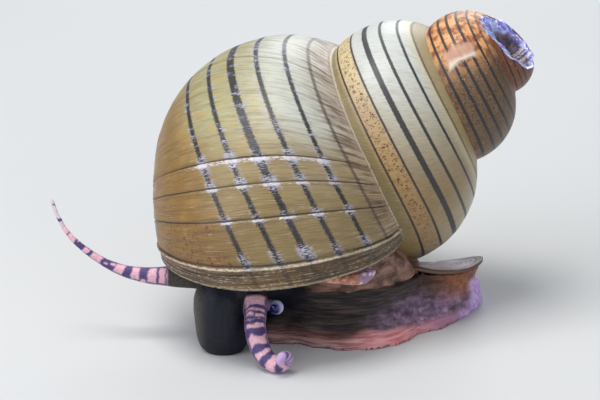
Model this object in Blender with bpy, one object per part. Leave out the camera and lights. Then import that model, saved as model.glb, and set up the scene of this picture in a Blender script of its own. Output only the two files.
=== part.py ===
"""River snail, a life-size still model: a left-handed banded shell over a crawling body.

Metres, +Z up. The sole rests on z = 0 with its middle at the origin. The tail points to +X,
the head to -X and turned to the snail's left (-Y). Sizes below are in millimetres.
"""
from math import cos, pi, radians, sin

import bmesh
import bpy
import numpy as np
from mathutils import Matrix

MM = 0.001
GAP = 0.3                     # clearance between neighbouring solids

# Shell: a logarithmic spiral, measured from its pole, the point that it winds out of.
POLE = (18.4, 1.66, 24.14)
AXIS_RISE = radians(35.5)     # the spire points up by this
AXIS_TURN = radians(-6.4)     # and this far to the snail's left of straight back
MOUTH_PHASE = radians(-126.3)  # where the tube stands, round the axis from up, at the lip's end
WHORL_GROWTH = 1.615          # each turn is this much larger than the one before
TURNS = 3.5
TUBE_OUT = 5.46               # centre of the tube's oval section, out from the axis
TUBE_ALONG = 30.36            # and along it
TUBE_HALF_WIDTH = 9.24
TUBE_HALF_HEIGHT = 10.26
TUBE_TILT = radians(-6.5)
LIP_SWEEP = (-2.324, 3.179, -2.667)   # the lip trails by this cubic, in radians of growth
LIP_SPAN = 2.98               # over this much of the way round the section
LIP_BLEND = radians(-200)     # growth angle from which the rows turn to follow the lip
EROSION_CUT = 6.5             # the worn tip ends this far from the pole
EROSION_HOLLOW = 0.6
EROSION_RADIUS = 2.6
START_ALONG = 3.2             # the buried start of the spiral, which the worn tip takes away
SHELL_WALL = 0.7
MOUTH_DEPTH = 1.6             # how far the body goes up inside the lip
MOUTH_FLOOR = 2.4             # from the lip to the flat of the mouth's floor
MOUTH_MIDDLE = (-5.6, -3.2, 6.9)
TURN_STEPS = 40
BAND_STEPS = 9                # from suture to suture
BASE_STEPS = 9                # from the last suture to the axis

# Foot: x, y, heading in degrees left of straight ahead, half width of the sole, height.
# The tail is high enough for the lid's right edge to rest on it.
FOOT_STATIONS = (
    (10.95, 2.4, 20, 1.1, 1.6),
    (10.4, 2.2, 16, 2.0, 2.3),
    (9.0, 1.5, 10, 2.9, 3.0),
    (7.0, 0.6, 6, 4.0, 3.4),
    (4.8, 0.3, 2, 4.7, 3.6),
    (3.4, 0.1, 0, 5.7, 3.7),
    (2.0, 0.0, 0, 6.4, 3.8),
    (-0.8, 0.0, 0, 6.5, 4.0),
    (-4.0, 0.0, 8, 5.6, 3.8),
    (-6.6, -0.4, 26, 4.5, 2.8),
    (-8.0, -1.4, 42, 3.9, 1.9),
    (-8.7, -2.0, 48, 3.1, 1.2),
)
FOOT_CUTS = (5.6, -1.6)       # x where the tail and the front of the foot are parted
BACK_WIDTH = 0.66             # width of the foot's back over the sole's
MARGIN = 0.45                 # thickness of the foot's edge

# Trunk, from the foot's back up into the mouth: x, y, z, half length, half width.
TRUNK_STATIONS = (
    (0.5, -0.9, 2.8, 6.6, 3.8),
    (0.2, -1.3, 4.2, 6.5, 3.8),
    (-0.9, -2.1, 5.4, 5.9, 3.9),
    (-2.8, -2.9, 6.9, 5.9, 4.2),
    (-3.7, -3.2, 9.6, 5.9, 4.2),
)
NECK_STATIONS = (             # x, y, z, radius
    (-4.0, -1.5, 5.0, 2.4),
    (-6.4, -1.8, 4.9, 2.1),
    (-8.8, -2.3, 4.8, 2.0),
)
HEAD_CENTRE = (-9.4, -2.7, 4.7)
HEAD_HALF = (2.6, 2.45, 1.9)  # length, width and height from the middle
HEAD_HEADING = radians(48)    # the head is turned this far to the left
SNOUT_STATIONS = (
    (-10.3, -3.9, 0.0, 1.3),
    (-10.3, -3.9, 0.9, 1.75),
    (-10.4, -3.9, 2.4, 1.95),
    (-10.4, -3.8, 3.8, 1.95),
    (-10.2, -3.5, 4.9, 1.5),
)

# Tentacles and eye stalks: x, y, z, radius along the middle line, root to tip.
TENTACLE_RIGHT = (
    (-10.6, -1.4, 4.65, 0.88),
    (-11.9, -0.9, 4.68, 0.84),
    (-13.6, -0.5, 4.75, 0.76),
    (-15.2, -0.1, 4.8, 0.64),
    (-16.8, 0.3, 5.1, 0.51),
    (-18.2, 0.7, 5.7, 0.45),
    (-19.6, 1.1, 6.65, 0.38),
    (-20.8, 1.5, 7.8, 0.31),
    (-21.6, 2.0, 9.2, 0.27),
    (-22.0, 2.5, 10.55, 0.25),
)
TENTACLE_LEFT = (
    (-7.75, -4.1, 5.0, 0.86),
    (-7.9, -4.9, 4.1, 0.84),
    (-8.1, -5.7, 3.3, 0.83),
    (-8.3, -6.6, 2.5, 0.80),
    (-8.22, -7.5, 1.65, 0.77),
    (-7.95, -8.4, 1.0, 0.73),
    (-7.47, -9.1, 0.7, 0.66),
    (-6.9, -9.45, 0.72, 0.58),
    (-6.5, -9.65, 1.2, 0.47),
    (-6.76, -9.9, 1.6, 0.38),
    (-7.15, -10.2, 1.55, 0.30),
)
TENTACLE_CUTS = (0.36, 0.7)   # fractions of the length where a tentacle is parted
TENTACLE_STEP = 0.55
EYE_RADIUS = 0.55
EYE_GAP = 0.15                # an eye sits closer in its stalk
EYE_LEFT = (-6.5, -5.6, 3.65)
EYE_RIGHT = (-12.1, 0.75, 4.5)
STALK_LEFT = ((-7.7, -5.0, 4.2, 0.5), (-7.1, -5.25, 4.15, 0.55), (-6.6, -5.45, 3.95, 0.48))
STALK_RIGHT = ((-10.6, 0.5, 5.0, 0.46), (-11.3, 0.75, 4.8, 0.46), (-12.1, 0.75, 4.5, 0.42))

OPERCULUM_CENTRE = (6.4, -0.9, 3.85)
OPERCULUM_HALF = (4.2, 2.7)
OPERCULUM_THICK = 0.5
OPERCULUM_LOW = 1.3           # it sags behind its middle
OPERCULUM_SAG = 0.06
OPERCULUM_LEVEL = -1.5        # and is level from here forward
OPERCULUM_TILT = -0.22        # it falls to the right
OPERCULUM_CURL = 0.1          # and curls down there, under the shell
OPERCULUM_CURL_FROM = -0.5
MANTLE_REACH = (0.14, 0.97)   # from where to where along the lip
MANTLE_RADIUS = 0.5
MANTLE_INSET = 1.5            # from the lip's edge to the middle of the mantle's edge
MANTLE_RISE = 0.3
LOBE_STATIONS = (             # the mantle's flap below the lip: x, y, z, radius
    (-3.1, -7.0, 6.2, 0.25),
    (-2.4, -7.2, 6.15, 0.34),
    (-1.4, -7.3, 6.12, 0.42),
    (-0.5, -7.2, 6.15, 0.45),
    (0.2, -7.0, 6.25, 0.40),
    (0.6, -6.8, 6.4, 0.28),
)

TUBE_START = (0.13, 0.0, 1.0)  # a tube's first corner stands across this
BACK_STEPS = 6
FOOT_STEPS = 26
TRUNK_STEPS = 10
TRUNK_SIDES = 24
PLATE_SIDES = 28
PATH_STEPS = 60               # points along a tentacle's smooth middle line
MANTLE_STEPS = 22
SHARP_ANGLE = radians(50)     # an edge that turns more than this is shaded as a corner
SLAB_WIDTH = 60.0
RING_SIDES = 14
MANTLE_SIDES = 10
HEAD_GRID = (20, 12)          # segments round and from pole to pole
EYE_GRID = (16, 10)

SKIN_DARK = (0.055, 0.05, 0.055, 1.0)
SKIN_BROWN = (0.2, 0.11, 0.075, 1.0)
SKIN_PINK = (0.72, 0.4, 0.36, 1.0)
MANTLE_ORANGE = (0.68, 0.32, 0.2, 1.0)
SHELL_OLIVE = (0.4, 0.33, 0.15, 1.0)
HORN_BROWN = (0.3, 0.17, 0.09, 1.0)
EYE_BLUE = (0.3, 0.38, 0.6, 1.0)


# ---------------------------------------------------------------- scene and mesh helpers

def new_scene():
    """Empty the file and return the collections for the model and for its cutters."""
    for item in list(bpy.data.objects):
        bpy.data.objects.remove(item, do_unlink=True)
    collections = []
    for name in ("river_snail", "cutters"):
        made = bpy.data.collections.new(name)
        bpy.context.scene.collection.children.link(made)
        collections.append(made)
    return collections


def material(name, colour, roughness):
    """A Principled material."""
    made = bpy.data.materials.new(name)
    made.use_nodes = True
    shader = made.node_tree.nodes["Principled BSDF"]
    shader.inputs["Base Color"].default_value = colour
    shader.inputs["Roughness"].default_value = roughness
    shader.inputs["Metallic"].default_value = 0.0
    return made


def add_object(name, verts, faces, collection, look=None):
    """A closed mesh object from points in millimetres, with its faces turned outward."""
    mesh = bpy.data.meshes.new(name)
    mesh.from_pydata([tuple(MM * float(c) for c in v) for v in verts], [], faces)
    work = bmesh.new()
    work.from_mesh(mesh)
    bmesh.ops.recalc_face_normals(work, faces=work.faces)
    if work.calc_volume(signed=True) < 0:
        bmesh.ops.reverse_faces(work, faces=work.faces)
    work.to_mesh(mesh)
    work.free()
    mesh.shade_smooth()
    mesh.set_sharp_from_angle(angle=SHARP_ANGLE)
    made = bpy.data.objects.new(name, mesh)
    collection.objects.link(made)
    if look is None:
        made.hide_render = True
        made.display_type = "WIRE"
    else:
        mesh.materials.append(look)
    return made


def boolean(target, cutter, operation="DIFFERENCE"):
    """Cut the target with another object, and keep the modifier."""
    step = target.modifiers.new(cutter.name, "BOOLEAN")
    step.operation = operation
    step.object = cutter
    return step


def taken_from(work):
    """Vertices and faces of a working mesh, which is then freed."""
    verts = [v.co.copy() for v in work.verts]
    faces = [tuple(v.index for v in face.verts) for face in work.faces]
    work.free()
    return verts, faces


def loft(rings):
    """Vertices and faces of a closed loft through rings that have equal point counts."""
    count = len(rings[0])
    verts = [p for ring in rings for p in ring]
    faces = []
    for low in range(len(rings) - 1):
        for a in range(count):
            b = (a + 1) % count
            faces.append((low * count + a, low * count + b,
                          (low + 1) * count + b, (low + 1) * count + a))
    faces.append(tuple(range(count - 1, -1, -1)))
    faces.append(tuple(range((len(rings) - 1) * count, len(rings) * count)))
    return verts, faces


def smooth_path(stations, count):
    """Stations read at evenly spaced places along a smooth curve through them."""
    points = np.array(stations, float)
    tangents = np.gradient(points, axis=0)
    places = np.linspace(0.0, len(points) - 1.0, count)
    spans = np.minimum(places.astype(int), len(points) - 2)
    u = (places - spans)[:, None]
    start, end = points[spans], points[spans + 1]
    pull, push = tangents[spans], tangents[spans + 1]
    return (start * (2 * u**3 - 3 * u**2 + 1) + pull * (u**3 - 2 * u**2 + u)
            + end * (3 * u**2 - 2 * u**3) + push * (u**3 - u**2))


def tube(stations, grow=0.0, sides=RING_SIDES):
    """A closed tube through stations (x, y, z, radius); what would sink is flat on z = 0."""
    along = np.gradient(stations[:, :3], axis=0)
    across = np.cross(along[0], TUBE_START)
    rings = []
    for (x, y, z, radius), direction in zip(stations, along):
        direction = direction / np.linalg.norm(direction)
        across = across - direction * across.dot(direction)
        across /= np.linalg.norm(across)
        other = np.cross(direction, across)
        ring = []
        for k in range(sides):
            angle = 2 * pi * k / sides
            point = (x, y, z) + (radius + grow) * (cos(angle) * across + sin(angle) * other)
            ring.append((point[0], point[1], max(point[2], 0.0)))
        rings.append(ring)
    return loft(rings)


def cut_path(path, start, end):
    """The stretch of a path between two fractions of its length, half a gap short each way."""
    steps = np.linalg.norm(np.diff(path[:, :3], axis=0), axis=1)
    length = np.concatenate(([0.0], np.cumsum(steps)))
    low, high = start * length[-1] + GAP / 2, end * length[-1] - GAP / 2
    places = np.linspace(low, high, max(4, round((high - low) / TENTACLE_STEP)) + 1)
    return np.stack([np.interp(places, length, column) for column in path.T], axis=1)


# ---------------------------------------------------------------------------- the shell

def spiral_axes():
    """The axis, from the pole to the base, and two directions across it: up, and sideways."""
    axis = -np.array([cos(AXIS_RISE) * cos(AXIS_TURN), cos(AXIS_RISE) * sin(AXIS_TURN),
                      sin(AXIS_RISE)])
    up = np.array([0.0, 0.0, 1.0]) - axis * axis[2]
    up /= np.linalg.norm(up)
    return axis, up, np.cross(axis, up)


def tube_section(angle, grow=0.0):
    """Distance out from the axis, and along it, on the oval section at the lip."""
    wide = (TUBE_HALF_WIDTH + grow) * np.cos(angle)
    high = (TUBE_HALF_HEIGHT + grow) * np.sin(angle)
    out = TUBE_OUT + wide * cos(TUBE_TILT) - high * sin(TUBE_TILT)
    along = TUBE_ALONG + wide * sin(TUBE_TILT) + high * cos(TUBE_TILT)
    return out, along


def crossing(function, low, high):
    """The place between low and high where a function changes sign."""
    rising = function(high) > 0
    for _ in range(50):
        middle = (low + high) / 2
        if (function(middle) > 0) == rising:
            high = middle
        else:
            low = middle
    return (low + high) / 2


def suture_angles(grow=0.0):
    """Section angles of the upper suture, the lower suture and the axis."""
    def in_last_whorl(angle):
        """A point of the next whorl's section, on this whorl's own section axes."""
        out, along = tube_section(angle, grow)
        out, along = out * WHORL_GROWTH - TUBE_OUT, along * WHORL_GROWTH - TUBE_ALONG
        wide = out * cos(TUBE_TILT) + along * sin(TUBE_TILT)
        high = along * cos(TUBE_TILT) - out * sin(TUBE_TILT)
        return wide / (TUBE_HALF_WIDTH + grow), high / (TUBE_HALF_HEIGHT + grow)

    def outside(angle):
        wide, high = in_last_whorl(angle)
        return wide**2 + high**2 - 1

    upper = crossing(outside, radians(-85), radians(-30))
    wide, high = in_last_whorl(upper)
    centre = crossing(lambda angle: tube_section(angle, grow)[0], radians(90), radians(180))
    return upper, np.arctan2(high, wide), centre


def lip_growth(angle, upper):
    """Growth angle of the lip at a section angle; straight on beyond the cubic's span."""
    u = (angle - upper) / LIP_SPAN
    inner = min(u, 1.0)
    one, two, three = LIP_SWEEP
    growth = one * inner + two * inner**2 + three * inner**3
    return growth + (one + 2 * two + 3 * three) * (u - inner)


def shell_point(growth, angle, grow=0.0):
    """A point of the shell's surface, in millimetres."""
    axis, up, side = spiral_axes()
    size = WHORL_GROWTH ** (growth / (2 * pi))
    out, along = tube_section(angle, grow)
    turn = MOUTH_PHASE - growth
    return np.array(POLE) + size * (along * axis + out * (cos(turn) * up + sin(turn) * side))


def shell_mesh(grow=0.0):
    """The shell as one closed skin: whorls from suture to suture, base, mouth and tip."""
    upper, lower, centre = suture_angles(grow)
    rows = int(TURNS * TURN_STEPS)
    last_turn = rows - TURN_STEPS
    verts, index = [], {}

    def vertex(row, column):
        if row <= last_turn and column == BAND_STEPS:
            row, column = row + TURN_STEPS, 0
        if (row, column) not in index:
            growth = 2 * pi * (row - rows) / TURN_STEPS
            if column <= BAND_STEPS:
                angle = upper + (lower - upper) * column / BAND_STEPS
            else:
                angle = lower + (centre - lower) * (column - BAND_STEPS) / BASE_STEPS
            if growth > LIP_BLEND:
                share = 1 - growth / LIP_BLEND
                growth = LIP_BLEND + share * (lip_growth(angle, upper) - LIP_BLEND)
            index[row, column] = len(verts)
            verts.append(shell_point(growth, angle, grow))
        return index[row, column]

    faces = []
    last_column = BAND_STEPS + BASE_STEPS
    for row in range(rows):
        for column in range(last_column if row >= last_turn else BAND_STEPS):
            faces.append((vertex(row, column), vertex(row + 1, column),
                          vertex(row + 1, column + 1), vertex(row, column + 1)))

    start = [vertex(row, 0) for row in range(TURN_STEPS + 1)]
    start += [vertex(0, column) for column in range(BAND_STEPS - 1, 0, -1)]
    tip = len(verts)
    verts.append(np.array(POLE) + START_ALONG * spiral_axes()[0])
    faces += [(start[k], start[k - 1], tip) for k in range(len(start))]

    lip = [vertex(rows, column) for column in range(last_column + 1)]
    inner = [vertex(row, last_column) for row in range(rows - 1, last_turn - 1, -1)]
    inner += [vertex(last_turn, column) for column in range(last_column - 1, BAND_STEPS, -1)]
    close_mouth(verts, faces, lip, inner, grow)
    return verts, faces


def close_mouth(verts, faces, lip, inner, grow):
    """Close the mouth with a floor set back inside the outer lip."""
    loop = lip + inner
    points = np.array([verts[k] for k in loop])
    middle = np.array(MOUTH_MIDDLE)
    depth = np.zeros(len(loop))
    depth[:len(lip)] = np.sin(np.linspace(0, pi, len(lip))) ** 0.5
    rings = [loop]
    wall, lift = SHELL_WALL + 2 * grow, MOUTH_DEPTH - grow
    for inset, rise in ((wall, 0.0), (wall + 0.2, lift), (MOUTH_FLOOR, lift)):
        ring = []
        for point, share in zip(points, depth):
            inward = (middle - point) * (1, 1, 0.4)
            inward /= np.linalg.norm(inward)
            moved = point + inward * inset * (0.35 + 0.65 * share)
            moved[2] += rise * share - grow
            ring.append(len(verts))
            verts.append(moved)
        rings.append(ring)
    for outer, nearer in zip(rings, rings[1:]):
        for k in range(len(loop)):
            faces.append((outer[k - 1], outer[k], nearer[k], nearer[k - 1]))
    top = len(verts)
    verts.append(middle + np.array([0.0, 0.0, lift - grow]))
    faces += [(rings[-1][k - 1], rings[-1][k], top) for k in range(len(loop))]


def make_shell(model, cutters):
    """The shell with its worn tip, and a cutter that is one gap larger all round."""
    shell = add_object("shell", *shell_mesh(), model, material("shell_olive", SHELL_OLIVE, 0.35))
    axis = spiral_axes()[0]
    rings = []
    for along, out in ((0.0, 8.0), (EROSION_CUT - EROSION_HOLLOW * 0.3, 8.0),
                       (EROSION_CUT, EROSION_RADIUS), (EROSION_CUT + EROSION_HOLLOW, 1.0)):
        rings.append((*(np.array(POLE) + along * axis), out))
    boolean(shell, add_object("cut_tip", *tube(np.array(rings)), cutters))
    return add_object("cut_shell", *shell_mesh(GAP), cutters)


# ----------------------------------------------------------------------------- the foot

def foot_ring(station, grow=0.0):
    """A section across the foot: flat sole, thin edge, sloping side and rounded back."""
    x, y, heading, half, height = station
    half, height = half + grow, height + grow
    across = np.array([sin(radians(heading)), -cos(radians(heading))])
    back = BACK_WIDTH * half
    edge = min(MARGIN, 0.5 * height)
    shoulder = (0.3 * half + 0.7 * back, 0.55 * height + 0.45 * edge)
    outline = [(share * half, 0.0) for share in (-1.0, -0.5, 0.0, 0.5, 1.0)]
    outline += [(half, edge), shoulder]
    for k in range(BACK_STEPS + 1):
        angle = radians(15) + radians(150) * k / BACK_STEPS
        outline.append((back * cos(angle), height * (0.84 + 0.16 * sin(angle))))
    outline += [(-shoulder[0], shoulder[1]), (-half, edge)]
    return [np.array([x + a * across[0], y + a * across[1], z]) for a, z in outline]


def foot_mesh(grow=0.0):
    """The foot in one piece, tail to front."""
    return loft([foot_ring(s, grow) for s in smooth_path(FOOT_STATIONS, FOOT_STEPS)])


def make_foot(model, cutters, cut_shell, cut_plate):
    """The foot, parted across into tail, rear and front, under the shell and its lid."""
    look = material("foot_brown", SKIN_BROWN, 0.45)
    reach = (14.0,) + FOOT_CUTS + (-14.0,)
    for name, high, low in zip(("tail", "foot_rear", "foot_front"), reach, reach[1:]):
        part = add_object(name, *foot_mesh(), model, look)
        boolean(part, make_slab("cut_" + name, low + GAP / 2, high - GAP / 2, cutters),
                "INTERSECT")
        boolean(part, cut_plate)
        boolean(part, cut_shell)
    return add_object("cut_foot", *foot_mesh(GAP), cutters)


def make_slab(name, low, high, cutters):
    """A cutter between two x values that is wider and taller than the snail."""
    work = bmesh.new()
    bmesh.ops.create_cube(work, size=1.0)
    place = Matrix.Translation(((low + high) / 2, 0.0, 0.0))
    size = Matrix.Diagonal((high - low, SLAB_WIDTH, SLAB_WIDTH, 1.0))
    work.transform(place @ size)
    return add_object(name, *taken_from(work), cutters)


# ------------------------------------------------------------------- trunk, neck and head

def trunk_mesh(grow=0.0):
    """The trunk: level ovals from the foot's back up into the shell's mouth."""
    rings = []
    for x, y, z, long_half, wide_half in smooth_path(TRUNK_STATIONS, TRUNK_STEPS):
        ring = []
        for k in range(TRUNK_SIDES):
            angle = 2 * pi * k / TRUNK_SIDES
            ring.append((x + (long_half + grow) * cos(angle), y + (wide_half + grow) * sin(angle), z))
        rings.append(ring)
    return loft(rings)


def head_mesh(grow=0.0):
    """The head, an egg turned to the left."""
    work = bmesh.new()
    bmesh.ops.create_uvsphere(work, u_segments=HEAD_GRID[0], v_segments=HEAD_GRID[1], radius=1.0)
    long_half, wide_half, high_half = HEAD_HALF
    size = Matrix.Diagonal((long_half + grow, wide_half + grow, high_half + grow, 1.0))
    work.transform(Matrix.Translation(HEAD_CENTRE) @ Matrix.Rotation(HEAD_HEADING, 4, "Z") @ size)
    return taken_from(work)


def ball_mesh(centre, radius):
    """A round eye."""
    work = bmesh.new()
    bmesh.ops.create_uvsphere(work, u_segments=EYE_GRID[0], v_segments=EYE_GRID[1], radius=radius)
    work.transform(Matrix.Translation(centre))
    return taken_from(work)


def make_trunk_and_head(model, cutters, cut_foot, cut_shell, cut_plate, cut_mantle):
    """Trunk, neck, head and snout, each cut back from its neighbour by one gap."""
    brown = material("body_brown", SKIN_BROWN, 0.45)
    dark = material("body_dark", SKIN_DARK, 0.4)
    trunk = add_object("trunk", *trunk_mesh(), model, brown)
    cut_trunk = add_object("cut_trunk", *trunk_mesh(GAP), cutters)
    cut_head = add_object("cut_head", *head_mesh(GAP), cutters)
    head = add_object("head", *head_mesh(), model, dark)
    neck = add_object("neck", *tube(smooth_path(NECK_STATIONS, 8)), model, dark)
    snout = add_object("snout", *tube(smooth_path(SNOUT_STATIONS, 8)), model, dark)
    for target, cuts in ((trunk, (cut_foot, cut_plate, cut_shell, cut_mantle, cut_head)),
                         (neck, (cut_trunk, cut_head, cut_foot, cut_shell)),
                         (head, (cut_shell,)), (snout, (cut_head,))):
        for cutter in cuts:
            boolean(target, cutter)
    return cut_head


# ------------------------------------------------------------- tentacles, eyes, mantle, lid

def make_tentacle(side, stations, eye, stalk, cut_head, model, cutters):
    """One tentacle in three lengths, with its eye on a short stalk at the root."""
    pink = material("tentacle_pink_" + side, SKIN_PINK, 0.35)
    path = smooth_path(stations, PATH_STEPS)
    reach = (0.0,) + TENTACLE_CUTS + (1.0,)
    for place, start, end in zip(("base", "middle", "tip"), reach, reach[1:]):
        stretch = cut_path(path, start, end)
        part = add_object("tentacle_%s_%s" % (side, place), *tube(stretch), model, pink)
        if place == "base":
            boolean(part, cut_head)
            cut_base = add_object("cut_tentacle_" + side, *tube(stretch, GAP), cutters)
    stub = add_object("eye_stalk_" + side, *tube(np.array(stalk)), model, pink)
    cut_eye = add_object("cut_eye_" + side, *ball_mesh(eye, EYE_RADIUS + EYE_GAP), cutters)
    for cutter in (cut_head, cut_base, cut_eye):
        boolean(stub, cutter)
    blue = material("eye_blue_" + side, EYE_BLUE, 0.1)
    add_object("eye_" + side, *ball_mesh(eye, EYE_RADIUS), model, blue)


def plate_height(a, b):
    """The operculum's height over its lowest place, at distances along and across."""
    sag = OPERCULUM_SAG * (max(a, OPERCULUM_LEVEL) - OPERCULUM_LOW) ** 2
    curl = OPERCULUM_CURL * max(b - OPERCULUM_CURL_FROM, 0.0) ** 2 * min(max(0.5 - a / 3, 0.0), 1.0)
    return sag + OPERCULUM_TILT * b - curl


def plate_mesh(grow=0.0, reach_up=0.0):
    """The operculum: an oval plate that sags along its length and curls down on the right."""
    rings = []
    half_long, half_wide = OPERCULUM_HALF[0] + grow, OPERCULUM_HALF[1] + grow
    low, high = -OPERCULUM_THICK / 2 - grow, OPERCULUM_THICK / 2 + grow + reach_up
    for scale, height in ((0.9, low), (1.0, low + 0.12), (1.0, high - 0.12), (0.9, high)):
        ring = []
        for k in range(PLATE_SIDES):
            angle = 2 * pi * k / PLATE_SIDES
            a, b = scale * half_long * cos(angle), scale * half_wide * sin(angle)
            ring.append(np.array(OPERCULUM_CENTRE) + (a, b, plate_height(a, b) + height))
        rings.append(ring)
    return loft(rings)


def make_operculum(model, cutters):
    """The horny lid on the rear of the foot, and a cutter that clears all above it."""
    look = material("operculum_horn", HORN_BROWN, 0.4)
    add_object("operculum", *plate_mesh(), model, look)
    return add_object("cut_plate", *plate_mesh(GAP, 6.0), cutters)


def make_mantle(model, cutters):
    """The edge of the mantle along the inside of the lip, and its flap on the left."""
    look = material("mantle_orange", MANTLE_ORANGE, 0.4)
    upper = suture_angles()[0]
    path = []
    for share in np.linspace(*MANTLE_REACH, MANTLE_STEPS):
        angle = upper + share * LIP_SPAN
        point = shell_point(lip_growth(angle, upper), angle)
        inward = (np.array(MOUTH_MIDDLE) - point) * (1, 1, 0)
        point = point + MANTLE_INSET * inward / np.linalg.norm(inward)
        path.append((*(point + (0.0, 0.0, MANTLE_RISE)), MANTLE_RADIUS))
    add_object("mantle_edge", *tube(np.array(path), sides=MANTLE_SIDES), model, look)
    add_object("mantle_lobe", *tube(smooth_path(LOBE_STATIONS, 10), sides=MANTLE_SIDES), model, look)
    return add_object("cut_mantle", *tube(np.array(path), GAP, sides=MANTLE_SIDES), cutters)


def main():
    model, cutters = new_scene()
    cut_shell = make_shell(model, cutters)
    cut_plate = make_operculum(model, cutters)
    cut_foot = make_foot(model, cutters, cut_shell, cut_plate)
    cut_mantle = make_mantle(model, cutters)
    cut_head = make_trunk_and_head(model, cutters, cut_foot, cut_shell, cut_plate, cut_mantle)
    make_tentacle("left", TENTACLE_LEFT, EYE_LEFT, STALK_LEFT, cut_head, model, cutters)
    make_tentacle("right", TENTACLE_RIGHT, EYE_RIGHT, STALK_RIGHT, cut_head, model, cutters)


main()
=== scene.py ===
"""River snail, a life-size still model: the looks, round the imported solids.

Shapes are worked out in millimetres and scaled to metres when a mesh is made. The row's
frame is the solids' own: the sole on z = 0, the tail to +X, the head to -X.
"""
from math import cos, pi, radians, sin
from types import SimpleNamespace

import bmesh
import bpy
import numpy as np
from mathutils import Matrix, Vector


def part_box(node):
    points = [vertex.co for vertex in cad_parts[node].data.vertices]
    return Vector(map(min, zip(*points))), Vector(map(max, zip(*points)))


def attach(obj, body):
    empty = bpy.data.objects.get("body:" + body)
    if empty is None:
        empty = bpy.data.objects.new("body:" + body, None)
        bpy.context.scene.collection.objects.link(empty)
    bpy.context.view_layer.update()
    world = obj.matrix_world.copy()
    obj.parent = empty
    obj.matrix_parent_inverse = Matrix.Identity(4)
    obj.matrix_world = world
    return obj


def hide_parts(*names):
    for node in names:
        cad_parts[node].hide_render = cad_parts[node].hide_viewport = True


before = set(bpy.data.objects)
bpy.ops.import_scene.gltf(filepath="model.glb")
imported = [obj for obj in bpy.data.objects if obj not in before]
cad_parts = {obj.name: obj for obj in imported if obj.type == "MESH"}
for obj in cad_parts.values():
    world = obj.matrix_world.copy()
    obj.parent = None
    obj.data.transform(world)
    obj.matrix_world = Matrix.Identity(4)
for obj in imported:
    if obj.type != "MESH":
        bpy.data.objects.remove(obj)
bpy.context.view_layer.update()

MM = 0.001

# ------------------------------------------------------------------ the shell, in figures

POLE = np.array((18.4, 1.66, 24.14))  # the spiral winds out of this point
AXIS_RISE = radians(35.5)     # the spire points up by this
AXIS_TURN = radians(-6.4)     # and this far to the snail's left of straight back
MOUTH_PHASE = radians(-126.3)  # where the tube stands, round the axis from up, at the lip's end
WHORL_GROWTH = 1.615          # each turn is this much larger than the one before
TURNS = 4.5
TUBE_OUT = 5.46               # the oval section at the lip: its centre and half sizes
TUBE_ALONG = 30.36
TUBE_HALF_WIDTH = 9.24
TUBE_HALF_HEIGHT = 10.26
TUBE_TILT = radians(-6.5)
LIP_SWEEP = (-2.324, 3.179, -2.667)   # the lip trails by this cubic, in radians of growth
LIP_SPAN = 2.98               # over this much of the way round the section
LIP_BLEND = radians(-200)     # growth angle from which the rows turn to follow the lip
LIP_WALL = 0.55
MOUTH_DEPTH = 1.6
MOUTH_FLOOR = 2.4
MOUTH_MIDDLE = np.array((-5.6, -3.2, 6.9))
MOUTH_STEPS = (               # the inside of the lip: how far in from its edge, and up
    (0.12, -0.06),
    (0.3, -0.07),
    (LIP_WALL, 0.05),
    (LIP_WALL + 0.1, 0.4),
    (LIP_WALL + 0.25, MOUTH_DEPTH),
    (MOUTH_FLOOR, MOUTH_DEPTH),
)
TURN_STEPS = 720
BAND_STEPS = 60               # from suture to suture
BASE_STEPS = 74               # from the last suture to the axis

# Growth is the angle back from the lip, in radians; heights are in millimetres at the lip.
LEDGE = -0.128                # the last strong ridge
LEDGE_HEIGHT = 0.13
LEDGE_GROOVE = 0.10           # the groove behind it
LEDGE_DROP = 0.10             # the lip's own surface lies this much lower
RESTS = (-0.41, -0.61, -0.773)  # older edges where growth stopped for a while
REST_DEPTHS = (0.10, 0.10, 0.12)
REST_ROLL = 0.05              # the roll on the lip's side of each
REST_SWELL = 0.04             # and the slow swell that leads up to it
OLD_RESTS = (-1.62, -1.95)
OLD_REST_DEPTH = 0.05
UNEVENNESS = ((0.05, 0.35, 1), (0.02, 1.1, 2))  # noises: height, scale, seed
LINE_WANDER = ((0.006, 0.7, 3), (0.003, 2.5, 4))
GROWTH_LINES = 0.012
LIP_LINES = 0.035             # coarse growth lines near the lip
WELT = 0.07                   # where each whorl meets the one before

# The worn tip.
WORN_NORMAL = np.array((0.60, -0.30, 0.74))  # it is broken off across this
WORN_FROM_POLE = 6.1
TIP_WEAR = 0.42               # worn off the youngest whorls
HOLLOW_SHIFT = (0.45, 0.0, -0.36)     # the hollow lies to one side of the break's middle
HOLLOW_STEPS = (              # share of the way to the break's middle, and depth
    (0.05, 0.02),
    (0.16, -0.03),
    (0.30, -0.12),
    (0.38, -0.9),
    (0.6, -1.5),
    (0.85, -1.8),
)
HOLLOW_GRAIN = 0.12
BREAK_JAG = ((0.16, 1.3, 11), (0.07, 3.5, 12))  # noises along the broken edge
ON_PLANE = 1e-7               # metres
INSIDE_LOOK = 1               # material slots of the shell, after its banded outside
PEARL_LOOK = 2


# ------------------------------------------------------------------------ mesh helpers

def new_piece(name, verts, faces, materials=()):
    """A smooth mesh object from points in millimetres."""
    mesh = bpy.data.meshes.new(name)
    mesh.from_pydata((np.asarray(verts) * MM).tolist(), [], faces)
    for look in materials:
        mesh.materials.append(look)
    mesh.shade_smooth()
    piece = bpy.data.objects.new(name, mesh)
    bpy.context.scene.collection.objects.link(piece)
    return piece


def smooth_step(value, low, high):
    """0 below low, 1 above high, and smooth between."""
    share = np.clip((value - low) / (high - low), 0.0, 1.0)
    return share * share * (3 - 2 * share)


def bump_at(value, centre, width):
    """A bell of height 1."""
    return np.exp(-((value - centre) / width) ** 2)


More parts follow.
